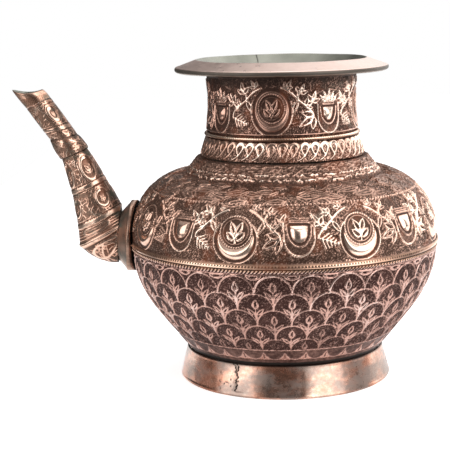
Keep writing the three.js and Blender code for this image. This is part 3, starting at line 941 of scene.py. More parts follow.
def raise_neck(relief):
    relief.relief[:] = GROUND * 0.8
    chase_ground(relief, seed=61, depth=0.25, shine=0.46)
    places = [NECK_TURN + 360 / NECK_COUNT * index for index in range(NECK_COUNT)]
    scribble(relief, 63, 200, BEAD_HEIGHT + 4.6, BEAD_HEIGHT + 31.6, 0.45)
    for index, degrees in enumerate(places):
        vine(relief, degrees, NECK_VINE_HEIGHT, 1, seed=300 + index)
        vine(relief, degrees, NECK_VINE_HEIGHT, -1, seed=400 + index)
    for degrees in places:
        medallion(relief, degrees, NECK_MEDALLION_HEIGHT, **NECK_MEDALLION)
        shield(relief, degrees + 180 / NECK_COUNT, NECK_SHIELD_HEIGHT, **NECK_SHIELD)
        flame(relief, degrees + 180 / NECK_COUNT, NECK_FLAME_HEIGHT)
    relief.lay_band(BEAD_HEIGHT + 33.2, NECK_TOP + 1, 0.6, -0.3, 0.2)
    # Painted shade: the neck darkens towards its top, under the rim
    relief.dirt_and_shade += 0.7 * soft(relief.height - BEAD_HEIGHT - 25.6, 9)[:, None]
    even_border(relief, BEAD_HEIGHT + 2.4, 0.8, 0.1, 0.7)
    # Painted light from the right side of the pot
    paint_right_side_light(relief)


def flame(relief, degrees, height):
    """Fingered leaf above a neck shield"""
    where, x, y = relief.place(degrees, height, 8, 9)
    total = np.zeros(x.shape)
    for aside in (-40, -20, 0, 20, 40):
        root = (aside * 0.06, -2.5)
        total = np.maximum(total, leaf(x, y, root, 90 - aside, 8.5 - abs(aside) * 0.06, 2.2, 0.2))
    relief.emboss(where, total, 0.3, 0.9)


def from_spout(relief):
    """Millimetres round the pot from the spout's middle"""
    return np.radians(relief.degrees_from(-90)) * BELLY_RADIUS


def cut_hole(relief):
    """Cells of the inside grid that lie in the hole into the spout"""
    height = relief.height[1::2]
    return np.hypot(from_spout(relief)[1::2][None, :], height[:, None] - BORE_HEIGHT) < BORE_RADIUS


def plain_under_plate(relief):
    away = np.hypot(from_spout(relief)[None, :], relief.height[:, None] - PLATE_HEIGHT)
    relief.sink(slice(None), soft(PLATE_REACH - away, 1.5), -0.35, 0.1)


def keep_inside(relief):
    """Holds the relief within the pot's greatest radius"""
    room = PEAK_RADIUS - relief.radius[:, None]
    lean = np.maximum(outward(relief.outline)[:, :1], 0.2)
    relief.relief = np.minimum(relief.relief, room / lean)


def make_bowl(material):
    relief = Relief(even_rows(bowl_outline(), FINE_ROW), FINE_TURN)
    engrave_bowl(relief)
    plain_under_plate(relief)
    relief.relief += 0.1 * waves(relief, 12, 14, 60, 18)
    keep_inside(relief)
    skin, side, side_back = turned_sheet(relief, 3, cut_hole(relief), open_foot=True)
    add_dish(skin, side[0], side_back[0])
    dress(skin.build("chased_bowl"), "lower_bowl", material)


def make_shoulder(material):
    relief = Relief(even_rows(shoulder_outline(), FINE_ROW), FINE_TURN)
    raise_shoulder(relief)
    plain_under_plate(relief)
    relief.relief += 0.15 * waves(relief, 22, 14, 70, 20)
    keep_inside(relief)
    relief.relief[-6:] = np.minimum(relief.relief[-6:], 0)
    skin, *_ = turned_sheet(relief, 3, cut_hole(relief))
    dress(skin.build("raised_shoulder"), "shoulder_shell", material)


def make_collar(material):
    foot, top = (COLLAR_FOOT_RADIUS, collar_low[2]), (COLLAR_TOP_RADIUS, collar_high[2])
    relief = Relief(even_rows([foot, top], FINE_ROW * 0.9), PLAIN_TURN)
    raise_collar(relief)
    skin, *_ = turned_sheet(relief, 3)
    dress(skin.build("looped_collar"), "neck_collar", material)


def make_neck(material):
    relief = Relief(even_rows(neck_outline(), FINE_ROW), PLAIN_TURN)
    raise_neck(relief)
    socket = (relief.height < BEAD_HEIGHT + BEAD_RADIUS + 0.4)[:, None]
    relief.relief = np.where(socket, 0, relief.relief)
    skin, *_ = turned_sheet(relief, 2)
    dress(skin.build("raised_neck"), "neck_sleeve", material)


def band_outline():
    """Section of the band: up its front over the ridge, and down its back"""
    low, high = band_low[2], band_high[2]
    front = [(BAND_BACK + 0.4, low), (BAND_BACK + 0.5, RIDGE_HEIGHT - 1.5),
             (BAND_BACK + 0.2, RIDGE_HEIGHT - 1.2), (PEAK_RADIUS - 0.25, RIDGE_HEIGHT - 0.8),
             (PEAK_RADIUS, RIDGE_HEIGHT), (PEAK_RADIUS - 0.25, RIDGE_HEIGHT + 0.8),
             (BAND_BACK + 0.2, RIDGE_HEIGHT + 1.2), (BAND_BACK + 0.2, high)]
    return front + [(BAND_BACK, high), (BAND_BACK, low)] + front[:1]


def make_belly_band(material):
    """Smooth ridge with a row of fine dots, above a strip of the rope border"""
    relief = Relief(even_rows(band_outline(), 0.28), ROPE_TWISTS * 6)
    front = relief.radius > BAND_BACK + 0.1
    relief.rub_and_sheen[:] = 0.35
    hatch = rope_hatch(relief)
    strip = (relief.height < RIDGE_HEIGHT - 1.6)[:, None] & front[:, None]
    relief.relief += np.where(strip, 0.4 * (hatch - 0.9), 0)
    relief.rub_and_sheen = np.where(strip, 0.7 * hatch, relief.rub_and_sheen)
    prick_ridge(relief, front)
    relief.relief = np.where(front[:, None], relief.relief, 0)
    relief.relief = np.minimum(relief.relief, PEAK_RADIUS - relief.radius[:, None])
    dress(open_ring("dotted_belly_band", relief, PLATE_REACH), "belly_band", material)


def prick_ridge(relief, front):
    """Rubs the ridge bright, with painted reflections that make it brighter and duller by angle round the
    pot, pricks its dots and cuts the dark groove under it
    """
    over = relief.height - RIDGE_HEIGHT
    crest = (soft(1.1 - np.abs(over), 0.5) * front)[:, None]
    turn = relief.degrees[None, :] / 360
    dot = soft(0.3 - 0.7 * np.cos(2 * math.pi * turn * ROPE_TWISTS * 1.2), 0.6)
    pricked = crest * soft(0.55 - np.abs(over[:, None] - 0.35), 0.3) * dot
    # Painted reflection: the ridge is brighter where the panels beside the camera are mirrored and duller in
    # front
    shine = 0.65 + 0.35 * np.cos(np.radians(7 * (relief.degrees + 28)))[None, :]
    relief.rub_and_sheen += crest * (shine - relief.rub_and_sheen)
    relief.rub_and_sheen *= 1 - 0.85 * pricked
    relief.relief -= 0.25 * pricked
    groove = (soft(0.4 - np.abs(over + 1.35), 0.3) * front)[:, None]
    relief.rub_and_sheen *= 1 - groove
    relief.relief -= 0.15 * groove


def open_ring(name, relief, reach):
    """A ring that is open at the spout for a reach to both sides, with closed ends"""
    skin = Skin()
    past_spout = (relief.degrees + 90) % 360
    order = np.argsort(past_spout)
    clear = math.degrees(reach / BELLY_RADIUS)
    order = order[(past_spout[order] > clear) & (past_spout[order] < 360 - clear)]
    points = turned_points(relief.outline, relief.relief, relief.degrees)[:-1, order]
    ids = skin.add_points(points, marks_of(relief)[:-1, order])
    ids = np.concatenate([ids, ids[:1]])
    keep = np.ones((len(ids) - 1, len(order)), bool)
    keep[:, -1] = False
    skin.add_grid(ids, patch(0, 0.95, 4), keep)
    for end, flip in ((0, True), (-1, False)):
        centre = skin.add_points(points[:, end].mean(0)[None, :], (0.3, 0, 0))[0]
        angle = np.arange(len(ids)) / (len(ids) - 1) * 2 * math.pi
        spots = np.stack([np.cos(angle), np.sin(angle)], -1) * 0.01 + (0.1 + 0.1 * flip, 0.98)
        hub = np.broadcast_to(spots.mean(0), spots[1:].shape)
        corners = [np.full(len(ids) - 1, centre), ids[:-1, end], ids[1:, end]]
        spots = [hub, spots[:-1], spots[1:]]
        skin.add_faces(corners[::-1] if flip else corners, spots[::-1] if flip else spots)
    return skin.build(name)


def make_bead(material):
    """Twisted bead on top of the collar, a little uneven, with a painted highlight on its upper half and
    painted reflections that brighten it at four angles round
    """
    angle = np.linspace(0, 2 * math.pi, 25)
    middle = NECK_DRAWN_RADIUS + GAP + BEAD_RADIUS
    loop = np.stack([middle + BEAD_RADIUS * np.cos(angle), BEAD_HEIGHT + BEAD_RADIUS * np.sin(angle)], -1)
    relief = Relief(loop, PLAIN_TURN)
    turn = relief.degrees[None, :] / 360
    notch = 0.5 + 0.5 * np.cos(2 * math.pi * (turn * 190 + np.sin(angle)[:, None] * 0.3))
    relief.relief = -0.16 * (1 - notch) + 0.06 * waves(relief, 71, 8, 30, 10) - 0.1
    # Painted reflection: brighter at four angles round the bead and duller in front; below, its upper half
    # gets a painted highlight
    shine = 0.8 - 0.3 * np.cos(np.radians(4 * relief.degrees))[None, :]
    relief.rub_and_sheen = 0.3 + 1.0 * (0.7 + 0.3 * notch) * shine * soft(0.7 + np.sin(angle - 0.3), 1)[:, None]
    dress(turned_ring("beaded_neck_ring", relief), "neck_bead", material)


def foot_outline():
    """Section of the foot's strip: up its outside and down its inside"""
    toe = FOOT_RADIUS - FOOT_EDGE / 2
    outside = [(toe - 1.4, 0), (toe, 0), (FOOT_RADIUS - 0.1, 0.5), (FOOT_RADIUS, 1.2),
               (FOOT_RADIUS - 0.45, 2.2), (FOOT_TOP_RADIUS + 0.15, FOOT_HEIGHT - 2.2),
               (FOOT_TOP_RADIUS, FOOT_HEIGHT - 0.9), (FOOT_TOP_RADIUS - 0.8, FOOT_HEIGHT - 0.4)]
    inside = [(FOOT_TOP_RADIUS - 1.6, FOOT_HEIGHT - 1.7), (FOOT_RADIUS - FOOT_WALL - 0.4, 2.2),
              (toe - 1.9, 0.8)]
    return outside + inside + outside[:1]


def past_foot_seam(relief):
    """Millimetres round the foot from its jagged seam"""
    away = np.radians(relief.degrees_from(FOOT_SEAM)) * FOOT_RADIUS
    jag = 0.5 * np.sin(relief.height * 1.3) + 0.3 * np.sin(relief.height * 3.1)
    return away[None, :] - jag[:, None]


def seam_crack(relief, past):
    """Crack along the seam of the foot, forked at its upper end"""
    over_fork = relief.height[:, None] - FOOT_HEIGHT + FORK_LENGTH
    fork = soft(0.5 - np.abs(past + 0.45 * over_fork), 0.4) * (over_fork > 0)
    return np.maximum(soft(0.6 - np.abs(past), 0.4), fork)


def stain_and_shade_foot(relief, past, crack, wall):
    """Duller patches on the foot that deepen the dark bands of its reflections, as painted shade and partly
    red-brown patina; dark specks beside its seam; soot in the crack; and darkening of the foot's top under
    the bowl, as painted shade and partly soot
    """
    # Painted shade, partly red-brown patina: duller patches at the foot's dark reflection bands
    for degrees, half_width in FOOT_SHADE_PATCHES:
        off_patch = (np.abs(relief.degrees_from(degrees)) - half_width)[None, :]
        relief.rub_and_sheen -= 0.38 * soft(4 - off_patch, 5)
    relief.dirt_and_shade = wall * np.maximum(crack, 0.3 * soft(1.1 - np.abs(past + 1.5), 1))
    rng = np.random.default_rng(82)
    for _ in range(FOOT_SPECKS):
        spot = np.hypot(past + rng.uniform(-3, 12), relief.height[:, None] - rng.uniform(2.5, 14))
        relief.dirt_and_shade = np.maximum(relief.dirt_and_shade, wall * 0.8 * soft(rng.uniform(0.4, 0.8) - spot, 0.3))
    # Painted shade, partly soot: the foot's top edge under the bowl is darkened
    under_bowl = soft(relief.height - FOOT_HEIGHT + 1.8, 1.2)[:, None]
    relief.dirt_and_shade = np.maximum(relief.dirt_and_shade, under_bowl * 0.8)


def make_foot(material):
    """Flared strip with a lapped seam, a rolled lower edge and hammered walls"""
    relief = Relief(even_rows(foot_outline(), 0.5), PLAIN_TURN * 2)
    past = past_foot_seam(relief)
    lap = soft(past + 0.4, 0.8) * soft(9 - past, 9)
    crack = seam_crack(relief, past)
    wall = (soft(relief.height - 2.4, 1) * (relief.radius > FOOT_TOP_RADIUS - 0.6))[:, None]
    relief.relief = 0.1 * waves(relief, 81, 12, 50, 14) - 0.12 + wall * (0.3 * lap - 0.45 * crack)
    relief.rub_and_sheen[:] = 0.75
    stain_and_shade_foot(relief, past, crack, wall)
    relief.relief = np.minimum(relief.relief, (FOOT_RADIUS - relief.radius)[:, None])
    relief.relief[relief.height < 0.4] = 0
    dress(turned_ring("lapped_foot_ring", relief), "foot_ring", material)


def rim_outline():
    """Section of the rim: up the throat, out under the brim, round the hem and back over the brim"""
    turn = np.radians(np.linspace(90, -180, 22))
    circle = np.stack([np.cos(turn), np.sin(turn)], -1)
    throat = NECK_TOP + GAP
    under = [(NECK_TOP_RADIUS + RIM_SHEET - SHEET, throat), (NECK_TOP_RADIUS + RIM_SHEET, throat),
             (MOUTH_RADIUS + RIM_SHEET, RIM_HEIGHT - RIM_SHEET * 1.8)]
    inner_curl = list(HEM_MIDDLE + circle * (HEM_RADIUS - RIM_SHEET))
    outer_curl = list(HEM_MIDDLE + circle[::-1] * HEM_RADIUS)
    lip = [(MOUTH_RADIUS + 1.2, RIM_HEIGHT - 0.3), (MOUTH_RADIUS + 0.2, RIM_HEIGHT - 0.05),
           (MOUTH_RADIUS - 0.3, RIM_HEIGHT - 0.6)]
    return under + inner_curl + outer_curl + lip + under[:1]


def make_rim(material):
    """Throat, sloping brim and a hem rolled under it, tinned inside"""
    relief = Relief(even_rows(rim_outline(), 0.45), PLAIN_TURN)
    normal = outward(relief.outline)
    top = soft(normal[:, 1] - 0.3, 0.5) * (relief.radius > MOUTH_RADIUS)
    throat_side = soft(-normal[:, 0], 0.3) * (relief.radius < MOUTH_RADIUS + 0.5)
    hem_out, hem_up = relief.radius - HEM_MIDDLE[0], relief.height - HEM_MIDDLE[1]
    hem_edge = ((np.hypot(hem_out, hem_up) < HEM_RADIUS + 0.2) & (normal[:, 1] < 0.75))[:, None]
    hem_line = (soft(0.3 - np.abs(hem_up + HEM_RADIUS * 0.75), 0.25) * (hem_out > 0))[:, None]
    relief.rub_and_sheen += (0.35 + 0.55 * top)[:, None]
    relief.dirt_and_shade += 0.68 * hem_edge
    relief.tin += 0.6 * hem_edge
    relief.rub_and_sheen += hem_line * 0.5
    relief.dirt_and_shade *= 1 - hem_line
    relief.tin += throat_side[:, None]
    seam = np.radians(relief.degrees_from(THROAT_SEAM)) * MOUTH_RADIUS
    crack = soft(0.5 - np.abs(seam), 0.4)[None, :] * throat_side[:, None]
    relief.dirt_and_shade = np.maximum(relief.dirt_and_shade, crack)
    relief.relief = 0.07 * waves(relief, 91, 10, 60, 25) - 0.12 - 0.25 * crack
    relief.relief = np.minimum(relief.relief, (RIM_RADIUS - relief.radius)[:, None])
    relief.relief = np.minimum(relief.relief, 0)
    dress(turned_ring("rolled_rim", relief), "rim_flange", material)


# Spout. A station holds its place outwards from the belly and upwards from its joint, its tilt from
# level, its width in the spout's plane and its depth across. The plate's section goes from its rim
# to its middle, by how far it stands out and how much it narrows.


def station(out, up, tilt, width, depth):
    return np.array([out, up, tilt, width, depth], float)


def follow(start, step):
    """The station a step further out and up, with the step's own tilt, width and depth"""
    return np.concatenate([start[:2] + step[:2], step[2:]])


PLATE_EDGE = station(0.4, 2.6, 85.7, 42.4, 41.2)
PLATE_FRONT = station(7.1, 2.9, 85.8, 28.8, 27.4)
MITRE = station(16.1, 4.6, 26, 34.7, 25.2)
ELBOW_END = station(0, 0, 77, 24.5, 23.6)
TUBE_TOP = follow(MITRE, station(16.6, 47.6, 22, 16.6, 16))
KNEE_TOP = follow(TUBE_TOP, station(6.1, 9.7, 10.2, 17.2, 16.2))
UPPER_TOP = follow(KNEE_TOP, station(14.1, 20.3, 25, 15.6, 14))
BEAK_TOP = follow(UPPER_TOP, station(6.35, 8.15, 0, 18.7, 14.4))
PLATE_SECTION = [(0.6, 0), (1.3, 0), (1.7, -0.9), (2.5, -3.4), (4.3, -7.4), (5.6, -10.4), (7.1, -13.6),
                 (7.1, -14.4), (7, -22), (5, -22)]
TUBE_BOW = 1
TUBE_WAIST = 1.8
KNEE_PROUD = 0.9
SPOUT_WALL = 1.2
PLATE_SEAT = 0.9
SPOUT_TURN = 240
SPOUT_ROW = 0.35

# Engraving of the spout, in degrees round each tube and millimetres up it: lines, bands with their
# widths, and rings with their half widths and half heights
LOWER_LINES = (2.6, 4.2, 5.8)
LOWER_BANDS = ((10, 3), (30.2, 2.6))
LOWER_RING_TURNS = (32, 122, -148, -58)
LOWER_RINGS = ((20.3, 3.9, 5.2), (39.5, 4.3, 7.6))
UPPER_LINES = (21.2, 23)
UPPER_BAND = (6.4, 2.2)
UPPER_RING_TURNS = (35, 125, -145, -55)
UPPER_RING = (15.5, 2.6, 4.4)


def between(start, end, bow=0, waist=0):
    """Stations from start to end, pushed towards the pot by a bow and narrowed by a waist"""
    count = 2 * round(math.dist(start[:2], end[:2]) / SPOUT_ROW / 2) + 1
    share = np.linspace(0, 1, count)[:, None]
    swell = (4 * share * (1 - share))[:, 0]
    stations = start + (end - start) * share
    stations[:, 0] -= bow * swell
    stations[:, 3] -= waist * swell
    return stations


def moved(spot, distance):
    """The station again, further along the spout"""
    tilt = math.radians(spot[2])
    return spot + station(distance * math.sin(tilt), distance * math.cos(tilt), 0, 0, 0)


def grown(spot, growth):
    """The station again, larger by the growth on every side"""
    return spot + station(0, 0, 0, 2 * growth, 2 * growth)


def spout_relief(stations):
    """Plain height map of a tube, whose height is the way along the tube"""
    along = np.hypot(*np.diff(stations[:, :2], axis=0).T)
    outline = np.stack([(stations[:, 3] + stations[:, 4]) / 4, np.concatenate([[0], np.cumsum(along)])], -1)
    return Relief(outline, SPOUT_TURN)


def spout_points(stations, relief, degrees):
    """Points of a bent oval tube, pushed out across its own direction by a relief"""
    out, up, tilt, width, depth = stations.T[:, :, None]
    tilt, angle = np.radians(tilt), np.radians(degrees)[None, :]
    normal = np.stack([np.sin(angle) * depth, -np.cos(angle) * width], -1)
    normal /= np.hypot(normal[..., 0], normal[..., 1])[..., None]
    reach = np.sin(angle) * width / 2 + normal[..., 0] * relief
    across = -np.cos(angle) * depth / 2 + normal[..., 1] * relief
    return np.stack([-BELLY_RADIUS - out + reach * np.cos(tilt), across,
                     JOINT_HEIGHT + up + reach * np.sin(tilt)], -1)


def plate_face(height):
    """How far out the front of the plate stands at a height"""
    tilt = math.radians(PLATE_FRONT[2])
    return -BELLY_RADIUS - PLATE_FRONT[0] + (height - JOINT_HEIGHT - PLATE_FRONT[1]) / math.tan(tilt)


def bent_tube(stations, relief, before_plate=False):
    """Tube of sheet along the stations, whose lower end is held in front of the plate where asked"""
    skin = Skin()
    outside = spout_points(stations, relief.relief, relief.degrees)
    inside = spout_points(stations[::2], -SPOUT_WALL, relief.degrees[::2])
    if before_plate:
        for points in (outside, inside):
            points[..., 0] = np.minimum(points[..., 0], plate_face(points[..., 2]) - GAP)
    add_sheet(skin, outside, marks_of(relief), inside, 1)
    return skin


def paint_pot_side_shade(relief):
    """Painted shade: the spout is made duller and darker where it faces the pot, whose dark side it mirrors
    """
    facing = soft(np.cos(np.radians(relief.degrees - 100)) - 0.42, 0.25)[None, :]
    relief.rub_and_sheen *= 1 - 0.5 * facing
    relief.dirt_and_shade = np.maximum(relief.dirt_and_shade, 0.3 * facing)


def plain_band(relief, middle, width):
    """Rubbed band between pairs of fine lines"""
    relief.lay_band(middle - width / 2, middle + width / 2, 0.4, 0.12, 0.92)
    for side in (-1, 1):
        groove = middle + side * (width / 2 + 0.5)
        line = middle + side * (width / 2 + 1.2)
        relief.lay_band(groove - 0.3, groove + 0.3, 0.25, -0.3, 0)
        relief.lay_band(line - 0.35, line + 0.35, 0.3, 0, 0.8)


def ring_medallion(relief, degrees, middle, wide, tall):
    """Oval ring, open towards the upper right, round engraved scrolls"""
    where, x, y = relief.place(degrees, middle, wide + 2, tall + 2)
    inside = oval(x, y, wide, tall)
    relief.sink(where, soft(inside + 0.8, 0.6), -0.25, 0.3)
    opening = soft(np.abs(np.arctan2(y, x) - 0.9) - 0.35, 0.2)
    relief.emboss(where, ring(inside - 0.3, 1.3) * opening, 0.25, 1)
    relief.emboss(where, ring(inside + 0.9, 0.6), 0.05, 0.7)
    relief.emboss(where, sprig(x, y, tall * 0.55) * soft(inside - 1.3, 0.3), 0, 0.75)


def cross_hatch(relief, degrees, middle, wide, tall):
    """Patch of fine crossing lines, 1.5 mm apart"""
    where, x, y = relief.place(degrees, middle, wide, tall)
    inside = soft(np.minimum(wide - np.abs(x), tall - np.abs(y)), 0.5)
    lines = np.maximum(np.cos((x + y) * 2 * math.pi / 1.5), np.cos((x - y) * 2 * math.pi / 1.5))
    lines = soft(lines - 0.3, 0.5)
    relief.rub_and_sheen[where] += inside * (0.25 + 0.5 * lines - relief.rub_and_sheen[where])
    relief.relief[where] -= inside * 0.15 * (1 - lines)


def make_lower_tube(material):
    """Widening tube with rings round small sprigs, between smooth bands"""
    stations = between(MITRE, TUBE_TOP, bow=TUBE_BOW, waist=TUBE_WAIST)
    relief = spout_relief(stations)
    relief.relief[:] = -0.15
    relief.rub_and_sheen[:] = 0.33
    scribble(relief, 401, 620, 6.5, 50, 1.0)
    relief.emboss_lines(LOWER_LINES, 0.45, 0.35, 0, 0.75)
    for degrees in (-12, 168):
        where, x, y = relief.place(degrees, LOWER_LINES[-1], 10, 4)
        relief.emboss(where, ring(oval(x, y, 8, 2.4), 0.8), 0, 0.85)
    for degrees in LOWER_RING_TURNS:
        for size in LOWER_RINGS:
            ring_medallion(relief, degrees, *size)
    for band in LOWER_BANDS:
        plain_band(relief, *band)
    relief.lay_band(-1, 1.3, 0.7, 0.35, 0.85)
    relief.relief += 0.08 * waves(relief, 402, 10, 30, 10)
    # Painted shade on the side of the spout that faces the pot
    paint_pot_side_shade(relief)
    skin = bent_tube(stations, relief, before_plate=True)
    dress(skin.build("engraved_lower_spout"), "spout_lower_tube", material)


def make_upper_tube(material):
    """Narrow tube with a zigzag, a smooth band and rings"""
    stations = between(grown(moved(KNEE_TOP, GAP), -GAP), moved(UPPER_TOP, GAP * 0.8))
    relief = spout_relief(stations)
    relief.relief[:] = -0.12
    relief.rub_and_sheen[:] = 0.33
    scribble(relief, 411, 260, 0, 24, 1.0)
    for degrees in range(0, 360, 30):
        where, x, y = relief.place(degrees, 2, 5, 3)
        relief.emboss(where, stroke(x, y, [(-2.1, 1.4), (0, -1.4), (2.1, 1.4)], 0.7), 0, 0.85)
    for degrees in UPPER_RING_TURNS:
        ring_medallion(relief, degrees, *UPPER_RING)
    plain_band(relief, *UPPER_BAND)
    relief.emboss_lines(UPPER_LINES, 0.4, 0.3, 0.1, 0.9)
    relief.relief += 0.08 * waves(relief, 412, 10, 25, 9)
    # Painted shade on the side of the spout that faces the pot
    paint_pot_side_shade(relief)
    relief.relief = np.minimum(relief.relief, 0)
    skin = bent_tube(stations, relief)
    dress(skin.build("engraved_upper_spout"), "spout_upper_tube", material)


def make_spout_collar(material):
    """Bulging ring over the bend"""
    start = grown(moved(TUBE_TOP, GAP * 0.2), KNEE_PROUD)
    stations = between(start, moved(KNEE_TOP, GAP * 0.8))
    share = np.linspace(0, 1, len(stations))
    relief = spout_relief(stations)
    bulge = KNEE_PROUD / 2 * np.sin(math.pi * share) - 0.15
    edge = np.maximum(soft(0.1 - share, 0.1), soft(share - 0.9, 0.1))
    relief.relief += (bulge - 0.2 * edge)[:, None] + 0.12 * waves(relief, 421, 10, 20, 6)
    relief.rub_and_sheen += 0.3
    scribble(relief, 422, 180, 0.5, 10.5, 1.0)
    relief.dirt_and_shade += 0.4 * edge[:, None]
    # Painted shade on the side of the spout that faces the pot
    paint_pot_side_shade(relief)
    relief.relief = np.minimum(relief.relief, bulge[:, None] + 0.15)
    skin = bent_tube(stations, relief)
    dress(skin.build("spout_knee_ring"), "spout_collar", material)


def make_beak(material):
    """Plain beak that ends in a dipped lip"""
    stations = between(moved(UPPER_TOP, GAP), BEAK_TOP)
    relief = spout_relief(stations)
    relief.rub_and_sheen += 0.78
    share = np.linspace(0, 1, len(stations))
    edge = soft(share - 0.9, 0.1)[:, None]
    relief.dirt_and_shade += edge * 0.8
    cross_hatch(relief, 25, 2.4, 9, 3)
    relief.relief = 0.06 * waves(relief, 431, 8, 20, 8) - 0.1 - 0.3 * edge
    skin = Skin()
    outside = spout_points(stations, relief.relief, relief.degrees)
    inside = spout_points(stations[::2], -SPOUT_WALL * 0.8, relief.degrees[::2])
    faces = ((outside, relief.degrees, share), (inside, relief.degrees[::2], share[::2]))
    for points, degrees, place in faces:
        dip = LIP_DIP * np.cos(np.radians(degrees)) ** 2 * soft(place - 0.3, 0.7)[:, None]
        points[..., 2] -= dip + 0.02
    add_sheet(skin, outside, marks_of(relief), inside, 1)
    dress(skin.build("beaked_spout_lip"), "spout_lip", material)


def elbow_stations():
    """Sections that fan round the upper end of the mitre's ridge"""
    tilt = math.radians(MITRE[2])
    pivot = MITRE[:2] + np.array([-math.cos(tilt), math.sin(tilt)]) * MITRE[3] / 2
    share = np.linspace(0, 1, 61)[:, None]
    stations = ELBOW_END + (MITRE - ELBOW_END) * share
    tilt = np.radians(stations[:, 2])
    lower = GAP * (1 + 5 * (1 - share[:, 0]))
    stations[:, 0] = pivot[0] + stations[:, 3] / 2 * np.cos(tilt)
    stations[:, 1] = pivot[1] - stations[:, 3] / 2 * np.sin(tilt) - lower
    return stations


def make_elbow(material):
    """Stub with two ovals and crossing lines under the ridge of the mitre"""
    stations = elbow_stations()
    relief = spout_relief(stations)
    relief.relief[:] = -0.12
    relief.rub_and_sheen[:] = 0.2
    top = relief.height[-1]
    scribble(relief, 441, 150, 2, top - 2, 0.8)
    for degrees in (-20, 200):
        where, x, y = relief.place(degrees, top - 6.5, 12, 6)
        relief.emboss(where, ring(oval(x, y, 9.5, 3.4), 0.9), 0.05, 0.9)
        relief.emboss(where, stroke(x, y, [(-10, -4), (4, 4)], 0.8), 0, 0.85)
        relief.emboss(where, stroke(x, y, [(-2, 4), (10, -3)], 0.8), 0, 0.85)
    relief.lay_band(top - 1.5, top + 1, 0.7, 0.3, 0.85)
    relief.relief += 0.08 * waves(relief, 442, 10, 30, 10)
    skin = bent_tube(stations, relief, before_plate=True)
    dress(skin.build("engraved_elbow"), "spout_elbow", material)


def body_radius(height):
    """Radius of the belly at a height"""
    outline = np.concatenate([bowl_outline(), shoulder_outline()])
    return np.interp(height, outline[:, 1], outline[:, 0])


def make_plate(material):
    """Dished plate under the elbow. Its rim stands on the belly, and the seat under it is darkened as painted
    shadow in the gap, partly soot.
    """
    seat = [(0, -0.9), (PLATE_SEAT, -0.9), (PLATE_SEAT, 0)]
    rows = np.concatenate([seat, even_rows(PLATE_SECTION, 0.4), [(0, -4.5), (0, -0.9)]])
    near_body = np.zeros(len(rows), bool)
    near_body[[0, 1, 2, -2, -1]] = True
    degrees = np.arange(SPOUT_TURN) * 360 / SPOUT_TURN
    stations = np.tile(PLATE_EDGE, (len(rows), 1))
    stations[:, 0] = np.where(near_body, 0, rows[:, 0])
    stations[:, 3:] += rows[:, 1:]
    points = spout_points(stations, 0.05 * np.sin(np.radians(degrees) * 9)[None, :], degrees)
    surface = -np.sqrt(np.maximum((body_radius(points[..., 2]) + GAP) ** 2 - points[..., 1] ** 2, 0))
    surface -= np.where(near_body, rows[:, 0], PLATE_SEAT)[:, None]
    points[..., 0] = np.where(near_body[:, None], surface, np.minimum(points[..., 0], surface))
    marks = np.zeros(points.shape)
    side_wall = soft(1.5 - rows[:, 0], 0.3)[:, None]
    marks[..., 0] = 0.4 + 0.2 * np.sin(np.radians(degrees) * 5 + 1)[None, :] + 0.15 * side_wall
    # Painted shadow, partly soot: the seat against the belly is fully darkened
    marks[..., 1] = np.where(near_body & (rows[:, 1] < 0), 1.0, 0.2)[:, None]
    marks[..., 2] = 0.35 - 0.2 * side_wall
    skin = Skin()
    ids = skin.add_points(points[:-1], marks[:-1])
    skin.add_grid(np.concatenate([ids, ids[:1]]), patch(0, 1, 1))
    dress(skin.build("dished_spout_plate"), "spout_plate", material)


# Materials. Effects that several finishes share are node groups.

TIN_DARK = (0.12, 0.12, 0.10, 1)
TIN_PALE = (0.42, 0.42, 0.36, 1)
# Near-black colour for soot and for painted shade
DIRT_AND_SHADE_COLOR = (0.018, 0.014, 0.012, 1)


def add_node(tree, kind, inputs=(), **settings):
    """Shader node with its settings, and with a link or a value for each named input"""
    node = tree.nodes.new("ShaderNode" + kind)
    for name, value in settings.items():
        setattr(node, name, value)
    for name, value in dict(inputs).items():
        socket = node.inputs[name]
        if isinstance(value, bpy.types.NodeSocket):
            tree.links.new(value, socket)
        else:
            socket.default_value = value
    return node


def new_group(name, inputs, outputs):
    """Empty node group; inputs and outputs map socket names to their kinds"""
    group = bpy.data.node_groups.new(name, "ShaderNodeTree")
    for way, sockets in (("INPUT", inputs), ("OUTPUT", outputs)):
        for socket, kind in sockets.items():
            group.interface.new_socket(socket, in_out=way, socket_type="NodeSocket" + kind)
    return group, group.nodes.new("NodeGroupInput").outputs, group.nodes.new("NodeGroupOutput")


def finish_group(group, end, values):
    """Links what a group puts out to its named outputs"""
    for name, value in values.items():
        group.links.new(value, end.inputs[name])
    return group


def number(tree, operation, *values, clamp=False):
    """Sum, product or the like of its values, held between 0 and 1 where clamped"""
    inputs = dict(enumerate(values))
    return add_node(tree, "Math", inputs, operation=operation, use_clamp=clamp).outputs[0]


def blend(tree, share, first, second):
    """Colour that is the first at share 0 and the second at share 1"""
    node = add_node(tree, "Mix", data_type="RGBA")
    for index, value in ((0, share), (6, first), (7, second)):
        if isinstance(value, bpy.types.NodeSocket):
            tree.links.new(value, node.inputs[index])
        else:
            node.inputs[index].default_value = value
    return node.outputs[2]


def ramp(tree, value, low, high):
    """0 below low and 1 above high, with a smooth rise between"""
    inputs = {"Value": value, "From Min": low, "From Max": high}
    return add_node(tree, "MapRange", inputs, interpolation_type="SMOOTHSTEP").outputs[0]


def noise(tree, where, scale, detail=4.0, roughness=0.55):
    inputs = {"Vector": where, "Scale": scale, "Detail": detail, "Roughness": roughness}
    return add_node(tree, "TexNoise", inputs).outputs[0]


